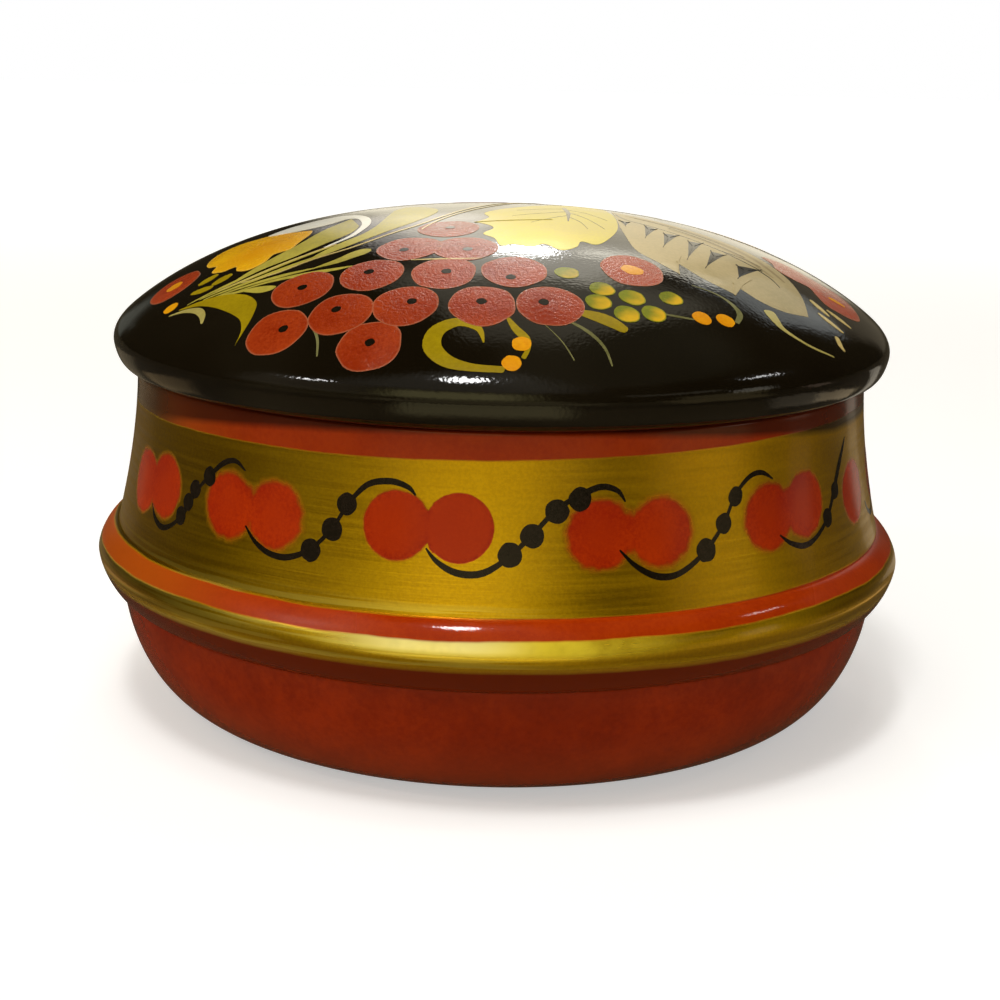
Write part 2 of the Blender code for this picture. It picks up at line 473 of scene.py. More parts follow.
def add(tree, kind, settings=None, **inputs):
    """A shader node of a kind. An input is given by its name, or by n and its number."""
    node = tree.nodes.new("ShaderNode" + kind)
    for name, value in (settings or {}).items():
        setattr(node, name, value)
    for name, value in inputs.items():
        numbered = name[0] == "n" and name[1:].isdigit()
        give(tree, node.inputs[int(name[1:]) if numbered else name.replace("_", " ")], value)
    return node


def maths(tree, operation, first, second=0.0, clamp=False):
    settings = {"operation": operation, "use_clamp": clamp}
    return add(tree, "Math", settings, n0=first, n1=second).outputs[0]


def times(tree, first, second):
    return maths(tree, "MULTIPLY", first, second)


def plus(tree, first, second, clamp=False):
    return maths(tree, "ADD", first, second, clamp)


def minus(tree, first, second):
    return maths(tree, "SUBTRACT", first, second)


def between(tree, value, low, high, to_low=0.0, to_high=1.0):
    """Value's place from low to high, as a smooth step from to_low to to_high."""
    settings = {"interpolation_type": "SMOOTHSTEP"}
    step = add(tree, "MapRange", settings, n0=value, n1=low, n2=high, n3=to_low, n4=to_high)
    return step.outputs[0]


def fade(tree, place, ends, to_low=0.0, to_high=1.0):
    """The same smooth step from the first to the second of two places in millimetres."""
    return between(tree, place, ends[0] * MM, ends[1] * MM, to_low, to_high)


def mixed(tree, share, first, second):
    settings = {"data_type": "RGBA"}
    return add(tree, "Mix", settings, n0=share, n6=first, n7=second).outputs[2]


def mixed_number(tree, share, first, second):
    return add(tree, "Mix", {}, n0=share, n2=first, n3=second).outputs[0]


def mottle(tree, place, scale, detail=2.0, rough=0.5):
    """Soft noise over the surface, mostly from 0.3 to 0.7."""
    noisy = add(tree, "TexNoise", Vector=place, Scale=scale, Detail=detail, Roughness=rough)
    return noisy.outputs[0]


def new_group(name, inputs, outputs):
    """An empty shader node group, with its input and output nodes."""
    group = bpy.data.node_groups.new(name, "ShaderNodeTree")
    for label, kind, value in inputs:
        socket = group.interface.new_socket(label, in_out="INPUT", socket_type="NodeSocket" + kind)
        if value is not None:
            socket.default_value = value
    for label, kind in outputs:
        group.interface.new_socket(label, in_out="OUTPUT", socket_type="NodeSocket" + kind)
    return group, group.nodes.new("NodeGroupInput").outputs, group.nodes.new("NodeGroupOutput").inputs


def lacquer_skin_group():
    """The skin of brushed lacquer: fine orange peel over slow waves, and where it lies thicker."""
    inputs = [("Vector", "Vector", None), ("Peel", "Float", 1.0), ("Waves", "Float", 1.0)]
    group, given, out = new_group("lacquer_skin", inputs, [("Height", "Float"), ("Thick", "Float")])
    peel = mottle(group, given["Vector"], 2300, 1.0, 0.4)
    wave = mottle(group, given["Vector"], 210, 1.0, 0.4)
    cloud = mottle(group, given["Vector"], 55)
    fine = times(group, peel, given["Peel"])
    slow = times(group, wave, times(group, given["Waves"], 3.0))
    group.links.new(plus(group, fine, slow), out["Height"])
    group.links.new(between(group, cloud, 0.32, 0.68), out["Thick"])
    return group


def turning_group():
    """Fine rings that the lathe tool and the round brush leave, as a height and as streaks."""
    inputs = [("Vector", "Vector", None), ("Spacing", "Float", 1.0)]
    group, given, out = new_group("turning_rings", inputs, [("Height", "Float"), ("Streaks", "Float")])
    fine = add(group, "Mapping", Vector=given["Vector"], Scale=(90, 90, 4200)).outputs[0]
    broad = add(group, "Mapping", Vector=given["Vector"], Scale=(40, 40, 1500)).outputs[0]
    scale = maths(group, "DIVIDE", 1.0, given["Spacing"])
    ring = mottle(group, fine, scale)
    streak = mottle(group, broad, scale, 3.0)
    group.links.new(plus(group, ring, streak), out["Height"])
    group.links.new(between(group, streak, 0.35, 0.65), out["Streaks"])
    return group


def painted_line_group():
    """1 above a line painted round the body by hand, and 0 below it."""
    inputs = [("Vector", "Vector", None), ("Level", "Float", 0.0), ("Tilt", "Float", 0.0)]
    inputs += [("Wander", "Float", 0.0001), ("Softness", "Float", 0.0002)]
    group, given, out = new_group("painted_line", inputs, [("Above", "Float")])
    place = add(group, "SeparateXYZ", Vector=given["Vector"]).outputs
    lean = times(group, maths(group, "DIVIDE", place[0], CREASE_RADIUS * MM), given["Tilt"])
    drift = mottle(group, given["Vector"], 45, 4.0, 0.6)
    drift = times(group, minus(group, drift, 0.5), given["Wander"])
    level = plus(group, plus(group, given["Level"], lean), drift)
    over = maths(group, "DIVIDE", minus(group, place[2], level), given["Softness"])
    group.links.new(plus(group, over, 0.5, clamp=True), out["Above"])
    return group


def dabbed_group():
    """Paint put on with a full soft brush: two colours that mottle finely and drift slowly."""
    inputs = [("Vector", "Vector", None), ("Light", "Color", (1, 1, 1, 1)), ("Deep", "Color", (0, 0, 0, 1))]
    inputs += [("Grain", "Float", 1.0)]
    group, given, out = new_group("dabbed_paint", inputs, [("Color", "Color"), ("Share", "Float")])
    grain = times(group, given["Grain"], 2400.0)
    fine = mottle(group, given["Vector"], grain, 3.0, 0.7)
    slow = mottle(group, given["Vector"], 150)
    share = plus(group, times(group, fine, 0.5), times(group, slow, 0.5))
    share = between(group, share, 0.34, 0.66)
    group.links.new(mixed(group, share, given["Deep"], given["Light"]), out["Color"])
    group.links.new(share, out["Share"])
    return group


SKIN = lacquer_skin_group()
RINGS = turning_group()
LINE = painted_line_group()
DABBED = dabbed_group()


def group_node(tree, group, **inputs):
    node = tree.nodes.new("ShaderNodeGroup")
    node.node_tree = group
    for name, value in inputs.items():
        give(tree, node.inputs[name], value)
    return node.outputs


def dabbed(tree, place, light, deep, grain=1.0):
    """Dabbed paint between two colours. A smaller grain is a coarser one."""
    return group_node(tree, DABBED, Vector=place, Light=light, Deep=deep, Grain=grain)


def new_material(name):
    """A material with its Principled shader and the Object coordinates that it reads."""
    material = bpy.data.materials.new(name)
    material.use_nodes = True
    tree = material.node_tree
    return material, tree, tree.nodes["Principled BSDF"], add(tree, "TexCoord").outputs["Object"]


def bump(tree, shader, height, depth):
    """Feeds the shader's normal from a height whose whole range is depth millimetres."""
    node = add(tree, "Bump", Height=height, Distance=depth * MM)
    tree.links.new(node.outputs[0], shader.inputs["Normal"])


def set_inputs(tree, shader, **values):
    for name, value in values.items():
        give(tree, shader.inputs[name.replace("_", " ")], value)


# Colours of the paints. Where there are two, the light one is first, and a third one is the rim
# of the dab, or the blush of the currants
BLACK = (0.0056, 0.0036, 0.0012, 1)
THICK_BLACK = (0.0090, 0.0064, 0.0030, 1)
FOOT_RED = ((0.37, 0.030, 0.0016, 1), (0.26, 0.019, 0.0012, 1))
FOOT_PATCH = (0.19, 0.013, 0.0010, 1)
# Greyish brown painted on the lower foot as a reflection of the floor
FOOT_FLOOR_REFLECTION = (0.27, 0.046, 0.014, 1)
LINE_RED = ((0.47, 0.044, 0.0014, 1), (0.39, 0.030, 0.001, 1))
# Dark brown that the upper red line turns to at its left end
LEFT_END_BROWN = (0.050, 0.032, 0.007, 1)
# Painted shadow of the lid on the wall under it
SHADE = (0.030, 0.0055, 0.0010, 1)
BERRY_RED = ((0.408, 0.048, 0.007, 1), (0.230, 0.013, 0.001, 1), (0.50, 0.22, 0.11, 1))
FLOWER_RED = ((0.46, 0.060, 0.012, 1), (0.32, 0.026, 0.006, 1), (0.46, 0.22, 0.11, 1))
FLOWER_ORANGE = ((1.0, 0.55, 0.007, 1), (0.80, 0.32, 0.003, 1), (0.95, 0.62, 0.10, 1))
CURRANT_GREEN = ((0.25, 0.27, 0.006, 1), (0.15, 0.17, 0.004, 1), (0.78, 0.46, 0.006, 1))
ORANGE = ((0.90, 0.41, 0.005, 1), (0.79, 0.29, 0.003, 1))
CREAM = ((0.74, 0.58, 0.24, 1), (0.56, 0.42, 0.14, 1))
# The loop's cream, lightened to near white as a painted highlight
LOOP_CREAM_GLINT = ((1.0, 0.99, 0.90, 1), (0.97, 0.93, 0.76, 1))
LEAF_GOLD = ((0.66, 0.55, 0.035, 1), (0.56, 0.44, 0.022, 1))
PALE_GOLD = ((0.57, 0.45, 0.22, 1), (0.44, 0.34, 0.14, 1))
WASH_BROWN = ((0.40, 0.29, 0.11, 1), (0.28, 0.19, 0.06, 1))
GREEN_GOLD = ((0.58, 0.49, 0.065, 1), (0.38, 0.32, 0.036, 1))
THIN_GREEN = ((0.22, 0.21, 0.080, 1), (0.13, 0.125, 0.040, 1))
PALE_GREEN = ((0.50, 0.42, 0.13, 1), (0.38, 0.32, 0.08, 1))
YELLOW_GREEN = ((0.41, 0.29, 0.004, 1), (0.30, 0.21, 0.003, 1))
VEIN_BROWN = ((0.10, 0.070, 0.018, 1), (0.06, 0.040, 0.010, 1))
EYE_BLACK = (BLACK, (0.011, 0.008, 0.004, 1))
TENDRIL_BLACK = (BLACK, (0.016, 0.010, 0.006, 1))
BAND_RED = ((0.51, 0.038, 0.001, 1), (0.34, 0.014, 0.001, 1))
BAND_CORE = (0.45, 0.030, 0.001, 1)
UNDER_BROWN = (0.13, 0.014, 0.0006, 1)
# Painted highlights on the bead's crown: its glare, and its pale sheen
GLARE_GOLD = (1.0, 0.79, 0.05, 1)
SHEEN_GOLD = (1.0, 0.88, 0.36, 1)
# Painted highlight on the lowest rings of the band
RING_HIGHLIGHT_GOLD = (1.0, 0.76, 0.10, 1)
ORANGE_RED = (0.47, 0.088, 0.002, 1)
GOLD = ((0.92, 0.57, 0.008, 1), (0.74, 0.42, 0.004, 1))
INSIDE_RED = ((0.30, 0.030, 0.006, 1), (0.20, 0.017, 0.004, 1))
INSIDE_STREAK = (0.12, 0.010, 0.003, 1)
LIME_WOOD = ((0.50, 0.30, 0.13, 1), (0.66, 0.45, 0.23, 1))
WOOD_STREAK = (0.36, 0.17, 0.06, 1)
# The gloss of the paints, and the lacquer over the gold of the band and of the bead
PAINT_GLOSS = 0.3
GOLD_COAT = 0.25
BEAD_COAT = 0.35
# Where a dab's rim starts, as a share of the way out from its middle
RIM_START = 0.93
# Painted highlights, reflection and shade of the body, its polish, and where its lines turn orange
# or dark brown. Each fades in from its first place to its second: millimetres to the right of the
# axis, or millimetres up
GLARE_LEFT = (-26, -10)
GLARE_RIGHT = (27, 8)
GLARE_CROWN = (20.8, 22.2)
SHEEN_LEFT = (-22, -10)
SHEEN_RIGHT = (6, -4)
SHEEN_CROWN = (21.4, 22.5)
RING_HIGHLIGHT_RIGHT = (10, -4)
RING_HIGHLIGHT_TOP = (27.2, 25.6)
POLISHED_LEFT = (-18, -10)
POLISHED_RIGHT = (40, 34)
ORANGE_LEFT = (-26, -44)
BROWN_LEFT_END = (-36.5, -44)
LID_SHADOW_LEFT = (-48, -36)
FLOOR_REFLECTION_FADE = (12, 1)


def black_lacquer():
    material, tree, shader, place = new_material("black_lacquer")
    skin = group_node(tree, SKIN, Vector=place)
    colour = mixed(tree, skin["Thick"], BLACK, THICK_BLACK)
    rough = mixed_number(tree, skin["Thick"], 0.07, 0.12)
    set_inputs(tree, shader, Base_Color=colour, Roughness=rough, Specular_IOR_Level=0.4)
    bump(tree, shader, skin["Height"], 0.016)
    return material


def foot_colour(tree, place, height, cloud):
    """Patchy red with a painted greyish-brown reflection of the floor towards the bottom, and dark
    brown above the groove.
    """
    red = dabbed(tree, place, *FOOT_RED, 0.5)["Color"]
    red = mixed(tree, times(tree, between(tree, cloud, 0.42, 0.62), 0.45), red, FOOT_PATCH)
    # Painted reflection of the floor, stronger towards the bottom
    red = mixed(tree, fade(tree, height, FLOOR_REFLECTION_FADE, 0.0, 0.6), red, FOOT_FLOOR_REFLECTION)
    groove = fade(tree, height, (FOOT_HEIGHT - 0.1, FOOT_HEIGHT + 0.1))
    return mixed(tree, groove, red, UNDER_BROWN)


def gold_colour(tree, place, skin, rings, across, height):
    """Rubbed-in gold powder: streaky and grainy, with a painted highlight on the lowest rings of the band.
    """
    powder = mottle(tree, place, 2600, 2.0, 0.7)
    share = plus(tree, times(tree, rings["Streaks"], 0.2), times(tree, skin["Thick"], 0.3))
    share = plus(tree, share, times(tree, between(tree, powder, 0.35, 0.65), 0.5))
    gold = mixed(tree, share, GOLD[1], GOLD[0])
    # Painted highlight on the lowest rings of the band, at the front
    lit = times(tree, fade(tree, height, RING_HIGHLIGHT_TOP), between(tree, rings["Streaks"], 0.3, 0.8))
    lit = times(tree, lit, fade(tree, across, RING_HIGHLIGHT_RIGHT))
    return mixed(tree, times(tree, lit, 0.8), gold, RING_HIGHLIGHT_GOLD)


def band_berries(tree, place):
    """The soft berries of the band: where they are red, where they hide the gold, and their red."""
    depth = add(tree, "Attribute", {"attribute_name": "berry_depth"}).outputs["Fac"]
    ragged = mottle(tree, place, 700, 3.0, 0.6)
    depth = plus(tree, depth, times(tree, minus(tree, ragged, 0.5), 0.5))
    core = between(tree, depth, 0.2, 1.8)
    red = dabbed(tree, place, *BAND_RED)["Color"]
    red = mixed(tree, times(tree, core, 0.7), red, BAND_CORE)
    return between(tree, depth, -0.42, 0.16), between(tree, depth, -0.34, 0.28), red


def bead_painted_glare(tree, across, height, cloud):
    """Painted highlights on the crown of the bead: where a bright glare is painted, and where a pale
    sheen is painted.
    """
    glare = times(tree, fade(tree, across, GLARE_RIGHT), fade(tree, across, GLARE_LEFT))
    glare = times(tree, glare, between(tree, cloud, 0.30, 0.52, 0.6, 1.0))
    glare = times(tree, glare, fade(tree, height, GLARE_CROWN))
    sheen = times(tree, fade(tree, across, SHEEN_RIGHT), fade(tree, across, SHEEN_LEFT))
    return glare, times(tree, sheen, fade(tree, height, SHEEN_CROWN))


def painted_lid_shadow(tree, place, across):
    """The lid's shadow on the wall under it, painted into the colour. It hangs lower towards the sides,
    and is faint at the left.
    """
    sideways = maths(tree, "DIVIDE", across, CREASE_RADIUS * MM)
    bow = times(tree, times(tree, sideways, sideways), LID_SHADOW_BOW * MM)
    level = maths(tree, "MAXIMUM", minus(tree, LID_SHADOW_LEVEL * MM, bow), LID_SHADOW_LOWEST * MM)
    lid_shadow = group_node(tree, LINE, Vector=place, Level=level, Wander=0.7 * MM, Softness=0.9 * MM)["Above"]
    return times(tree, lid_shadow, fade(tree, across, LID_SHADOW_LEFT, 0.25, 0.85))


def body_paint():
    """Red-brown foot, gold bead, red line, gold band with soft berries, and red under the lid. Painted
    highlights lie on the bead and the band, a painted floor reflection on the foot, and the lid's
    painted shadow under it.
    """
    material, tree, shader, place = new_material("body_paint")
    skin = group_node(tree, SKIN, Vector=place)
    rings = group_node(tree, RINGS, Vector=place)
    across, _, height = add(tree, "SeparateXYZ", Vector=place).outputs
    cloud = mottle(tree, place, 70, 4.0, 0.65)

    def above(line, wander, softness):
        values = dict(Level=line[0] * MM, Tilt=line[1] * MM, Wander=wander * MM, Softness=softness * MM)
        return group_node(tree, LINE, Vector=place, **values)["Above"]

    upper = above(UPPER_LINE, 0.7, 0.25)
    crease = above(CREASE_LINE, 0.5, 0.2)
    bead = above(BEAD_LINE, 0.9, 0.25)
    under = above(BEAD_UNDER_LINE, 0.8, 1.4)

    gold = gold_colour(tree, place, skin, rings, across, height)
    glare, sheen = bead_painted_glare(tree, across, height, cloud)
    # Painted highlights on the bead's crown: a bright glare, then a pale sheen
    crest = mixed(tree, times(tree, glare, 0.85), gold, GLARE_GOLD)
    crest = mixed(tree, times(tree, sheen, 0.8), crest, SHEEN_GOLD)
    line_red = dabbed(tree, place, *LINE_RED, 0.7)["Color"]
    line_red = mixed(tree, times(tree, fade(tree, across, ORANGE_LEFT), 0.8), line_red, ORANGE_RED)
    # The upper red line turns dark brown towards its left end
    browned_red = mixed(tree, times(tree, fade(tree, across, BROWN_LEFT_END), 0.9), line_red, LEFT_END_BROWN)
    berry, covered, berry_red = band_berries(tree, place)
    colour = mixed(tree, under, foot_colour(tree, place, height, cloud), crest)
    colour = mixed(tree, bead, colour, line_red)
    colour = mixed(tree, crease, colour, mixed(tree, berry, gold, berry_red))
    colour = mixed(tree, upper, colour, browned_red)
    # The lid's painted shadow on the wall under it
    colour = mixed(tree, painted_lid_shadow(tree, place, across), colour, SHADE)

    # The bead holds less metal where its glare is painted
    gilt_bead = times(tree, minus(tree, under, bead), minus(tree, 1.0, times(tree, glare, 0.8)))
    gilt_band = times(tree, minus(tree, crease, upper), minus(tree, 1.0, covered))
    metal = plus(tree, gilt_bead, gilt_band, clamp=True)
    polished = times(tree, fade(tree, across, POLISHED_LEFT), fade(tree, across, POLISHED_RIGHT))
    rough_line = mixed_number(tree, polished, 0.32, 0.08)
    rough_paint = mixed_number(tree, minus(tree, bead, crease), 0.15, rough_line)
    rough_gold = mixed_number(tree, rings["Streaks"], 0.33, 0.42)
    coat = times(tree, metal, mixed_number(tree, crease, BEAD_COAT, GOLD_COAT))
    turned = times(tree, rings["Height"], plus(tree, times(tree, metal, 1.6), 0.4))
    set_inputs(tree, shader, Base_Color=colour, Metallic=metal)
    set_inputs(tree, shader, Roughness=mixed_number(tree, metal, rough_paint, rough_gold))
    set_inputs(tree, shader, Coat_Weight=coat, Coat_Roughness=0.10, Specular_IOR_Level=PAINT_GLOSS)
    bump(tree, shader, plus(tree, skin["Height"], turned), 0.010)
    return material


def inside_lacquer():
    """The inside: dull red-brown lacquer in which the rings of the turning tool still show."""
    material, tree, shader, place = new_material("inside_lacquer")
    skin = group_node(tree, SKIN, Vector=place)
    rings = group_node(tree, RINGS, Vector=place, Spacing=1.6)
    colour = dabbed(tree, place, *INSIDE_RED)["Color"]
    colour = mixed(tree, times(tree, rings["Streaks"], 0.35), colour, INSIDE_STREAK)
    set_inputs(tree, shader, Base_Color=colour, Roughness=mixed_number(tree, skin["Thick"], 0.24, 0.34))
    bump(tree, shader, plus(tree, rings["Height"], skin["Height"]), 0.012)
    return material


def bare_wood():
    """Lime wood where the lid rubs: pale, with faint grain and the tool's rings."""
    material, tree, shader, place = new_material("lime_wood")
    rings = group_node(tree, RINGS, Vector=place, Spacing=1.3)
    grain_place = add(tree, "Mapping", Vector=place, Scale=(900, 120, 120)).outputs[0]
    grain = add(tree, "TexNoise", Vector=grain_place, Scale=1.0, Detail=4.0, Distortion=0.4).outputs[0]
    colour = mixed(tree, between(tree, grain, 0.35, 0.65), *LIME_WOOD)
    colour = mixed(tree, times(tree, rings["Streaks"], 0.3), colour, WOOD_STREAK)
    set_inputs(tree, shader, Base_Color=colour, Roughness=mixed_number(tree, grain, 0.45, 0.6))
    bump(tree, shader, rings["Height"], 0.02)
    return material


def berry_paint(name, light, deep, rim):
    """A dabbed berry or flower, mottled, with a thin pale rim."""
    material, tree, shader, place = new_material(name)
    skin = group_node(tree, SKIN, Vector=place)
    paint = dabbed(tree, place, light, deep)
    out = add(tree, "SeparateXYZ", Vector=add(tree, "TexCoord").outputs["UV"]).outputs[1]
    inner = between(tree, out, 0.0, 0.75)
    edge = between(tree, out, RIM_START, 1.0)
    colour = mixed(tree, times(tree, inner, 0.3), paint["Color"], light)
    colour = mixed(tree, times(tree, edge, 0.45), colour, rim)
    set_inputs(tree, shader, Base_Color=colour, Roughness=mixed_number(tree, paint["Share"], 0.06, 0.12))
    set_inputs(tree, shader, Specular_IOR_Level=PAINT_GLOSS)
    bump(tree, shader, plus(tree, skin["Height"], times(tree, paint["Share"], 2.2)), 0.022)
    return material


def flat_paint(name, light, deep, metal=0.0, rough=0.14):
    """Brush paint of one colour that mottles a little, or gilding if it has metal in it."""
    material, tree, shader, place = new_material(name)
    skin = group_node(tree, SKIN, Vector=place)
    paint = dabbed(tree, place, light, deep, 0.8)
    set_inputs(tree, shader, Base_Color=paint["Color"], Metallic=metal)
    set_inputs(tree, shader, Roughness=mixed_number(tree, paint["Share"], rough, rough * 1.3))
    set_inputs(tree, shader, Specular_IOR_Level=PAINT_GLOSS)
    if metal:
        set_inputs(tree, shader, Coat_Weight=GOLD_COAT, Coat_Roughness=0.08)
    bump(tree, shader, skin["Height"], 0.012)
    return material


def blushed_paint(name, light, deep, blush):
    """A currant: green dabs with a warm blush on one side."""
    material, tree, shader, place = new_material(name)
    skin = group_node(tree, SKIN, Vector=place)
    paint = dabbed(tree, place, light, deep)
    around, out, _ = add(tree, "SeparateXYZ", Vector=add(tree, "TexCoord").outputs["UV"]).outputs
    turned = maths(tree, "COSINE", times(tree, minus(tree, around, 0.02), 2 * math.pi))
    patchy = mottle(tree, place, 330)
    patchy = times(tree, minus(tree, patchy, 0.5), 2.4)
    warm = between(tree, plus(tree, times(tree, turned, out), patchy), -0.5, 1.0)
    warm = times(tree, warm, minus(tree, 1.0, between(tree, out, 0.82, 1.0)))
    set_inputs(tree, shader, Base_Color=mixed(tree, warm, paint["Color"], blush), Roughness=0.13)
    set_inputs(tree, shader, Specular_IOR_Level=PAINT_GLOSS)
    bump(tree, shader, skin["Height"], 0.012)
    return material


# The painting on the lid. Berries are (x, y, and how far the eye lies from the middle)
FRONT_BERRIES = [
    (-27.2, -41.3, 0.9, 0), (-24.4, -33.4, 0, 0.3), (-19.2, -41.0, -0.6, 1.0), (-15.6, -47.7, 0.1, 0.4),
    (-15.8, -33.0, -0.4, 0.7), (-11.5, -41.2, 0.8, 0.6), (-7.1, -34.3, 0.3, 0.2),
    (-2.4, -42.0, -0.1, 0.7), (-11.6, -26.2, -0.6, -0.5), (-7.0, -18.6, 0.2, 0.3),
    (-4.7, -27.2, 0.3, -0.4), (1.3, -34.1, -0.4, -1.6), (5.6, -41.5, -0.8, 0.5),
]
BACK_BERRIES = [
    (17.8, 41.0, 0.6, 0.5), (10.0, 42.5, -0.5, 0.2), (2.1, 44.5, 0.3, -0.6), (-5.6, 43.0, 0.7, 0.3),
    (14.4, 33.8, -0.7, 0.4), (6.3, 35.0, 0.2, 0.8), (-1.7, 36.6, -0.4, -0.3), (10.6, 26.4, 0.5, 0.5),
    (2.6, 27.4, -0.6, 0.1), (-5.4, 28.9, 0.3, 0.4), (-13.0, 40.0, 0.2, -0.5),
]
# The radii of a berry and of its eye
LID_BERRY = 3.98
EYE = 0.62

# Leaves of green-gold: each an upper and a lower edge
GRASS_LEAVES = [
    ([(-34.0, -24.9), (-30.4, -21.7), (-28.0, -19.4), (-25.9, -16.9), (-23.6, -12.4), (-21.9, -9.6),
      (-20.2, -6.6)],
     [(-33.6, -25.5), (-30.2, -24.0), (-26.4, -22.6), (-22.9, -20.0), (-20.0, -17.2), (-19.0, -15.0),
      (-18.7, -13.0)]),
    ([(-24.0, -24.5), (-21.0, -21.2), (-18.2, -18.4), (-16.7, -15.4), (-15.9, -12.0), (-15.2, -7.0),
      (-14.6, -2.0), (-13.4, 1.6)],
     [(-23.6, -25.1), (-20.9, -23.6), (-17.2, -20.6), (-14.4, -17.6), (-11.4, -13.6), (-9.2, -8.4),
      (-9.0, -3.4), (-11.4, 1.2)]),
    ([(-23.4, -28.2), (-20.6, -26.7), (-18.8, -25.2), (-17.4, -24.6), (-16.4, -24.9)],
     [(-23.4, -28.4), (-20.4, -28.1), (-18.2, -27.1), (-16.9, -26.4), (-16.3, -25.6)]),
    ([(-32.4, -28.9), (-30.6, -29.3), (-28.8, -30.1), (-27.9, -30.8)],
     [(-32.2, -29.5), (-30.3, -31.1), (-28.8, -31.5), (-28.0, -31.2)]),
]
# Their stalks, as strokes of (x, y, width)
GRASS_STALKS = [
    [(-40.4, -26.2, 0.2), (-36.6, -25.7, 0.6), (-33.6, -25.1, 0.8)],
    [(-38.6, -26.4, 0.2), (-34.0, -26.2, 0.6), (-29.6, -25.1, 0.9), (-25.2, -23.3, 0.8),
     (-21.6, -21.6, 0.3)],
    [(-38.0, -27.0, 0.2), (-33.0, -27.1, 0.7), (-28.4, -26.3, 1.0), (-23.6, -24.7, 0.7)],
    [(-36.6, -27.7, 0.2), (-31.6, -28.0, 0.6), (-27.2, -28.2, 0.8), (-23.2, -28.3, 0.3)],
    [(-34.6, -28.6, 0.2), (-29.4, -28.9, 0.5), (-24.4, -29.5, 0.9), (-20.4, -29.9, 0.7),
     (-18.4, -29.8, 0.2)],
    [(-39.0, -27.2, 0.2), (-35.6, -28.1, 0.6), (-32.2, -29.2, 0.5)],
]
# Yellow-green comma leaf on the left: its outer and its inner edge
COMMA = (
    [(-41.6, -26.4), (-38.2, -27.1), (-35.9, -27.8), (-33.6, -29.1), (-31.5, -31.0), (-30.2, -33.6),
     (-30.4, -36.0), (-31.2, -38.4), (-32.6, -41.2)],
    [(-41.4, -26.7), (-38.5, -28.3), (-36.2, -30.6), (-34.4, -32.9), (-33.0, -34.9), (-32.2, -36.4),
     (-31.9, -38.0), (-32.0, -39.4), (-32.6, -41.2)],
)
# Yellow-green strokes on the black ground round the berries
CURLS = [
    [(-2.1, -48.8, 0.2), (-2.8, -46.4, 0.9), (-5.2, -45.2, 1.5), (-7.6, -46.6, 2.0), (-8.1, -49.2, 2.2),
     (-6.4, -51.5, 1.8), (-3.4, -52.6, 1.1), (0.4, -52.9, 0.9)],
    [(0.6, -44.4, 0.4), (1.6, -46.4, 1.0), (2.7, -47.9, 1.1), (3.1, -49.4, 0.6), (2.5, -51.2, 0.6)],
    [(7.9, -42.4, 0.2), (9.8, -42.5, 1.4), (12.3, -43.2, 2.0), (14.7, -44.6, 1.2)],
    [(-36.8, -19.6, 0.8), (-38.0, -20.3, 1.7), (-39.4, -21.0, 0.9)],
    [(-34.6, -21.8, 0.8), (-35.8, -22.5, 1.8), (-37.2, -23.3, 0.9)],
    [(-37.0, -23.9, 0.8), (-38.6, -23.5, 1.6), (-40.2, -22.9, 0.7)],
]
# Thin grey-green ones
THIN_CURLS = [
    [(5.0, -45.4, 0.1), (7.0, -48.0, 0.15), (8.5, -50.8, 0.15)],
    [(7.2, -44.0, 0.3), (9.8, -45.6, 0.5), (11.9, -47.9, 0.4), (13.0, -50.8, 0.2)],
    [(-26.0, -37.6, 0.2), (-23.6, -40.4, 0.3), (-22.0, -44.4, 0.35), (-21.9, -47.8, 0.2)],
    [(19.4, -39.7, 0.3), (21.0, -39.5, 0.4), (23.0, -39.2, 0.3)],
    [(23.0, -31.0, 0.2), (25.8, -31.4, 0.3), (27.8, -32.6, 0.5), (29.0, -34.6, 0.8), (28.5, -37.0, 0.6)],
]
# Paler and broader ones at the left and right ends
PALE_CURLS = [
    [(-43.0, -26.6, 0.2), (-40.6, -27.7, 0.7), (-38.6, -29.4, 1.1), (-37.7, -31.4, 0.9),
     (-37.6, -33.4, 0.3)],
    [(33.0, -30.8, 1.7), (33.7, -32.3, 1.5), (34.9, -33.9, 0.8), (37.4, -34.6, 0.45),
     (39.6, -34.5, 0.4), (42.4, -33.6, 0.2)],
]
# Browner strokes that shade the upper side of the beige leaf
LEAF_WASH = [
    [(16.2, -1.2, 0.5), (22.0, -4.6, 1.1), (27.6, -8.4, 1.4), (32.6, -12.4, 1.1), (36.4, -18.6, 0.4)],
    [(21.6, -8.0, 0.3), (26.4, -10.6, 0.8), (31.0, -14.0, 0.8), (34.8, -18.8, 0.3)],
]
# Thin cream and yellow stems
STEMS = [
    [(-33.0, -26.4, 0.15), (-28.4, -26.9, 0.2), (-23.9, -25.3, 0.3), (-18.6, -23.2, 0.35),
     (-13.7, -18.9, 0.4), (-10.6, -15.4, 0.4), (-7.3, -9.2, 0.45), (-2.0, 3.5, 0.5), (3.0, 13.0, 0.3)],
    [(-10.4, -18.6, 0.2), (-8.6, -14.0, 0.3), (-4.0, -4.0, 0.4), (1.6, 8.6, 0.4), (5.4, 15.0, 0.25)],
    [(-36.4, -26.2, 0.12), (-31.4, -25.6, 0.22), (-26.2, -23.6, 0.3), (-21.0, -21.0, 0.35)],
    [(-11.2, -30.2, 0.15), (-8.6, -30.4, 0.35), (-5.4, -30.6, 0.3), (-2.6, -30.6, 0.12)],
]
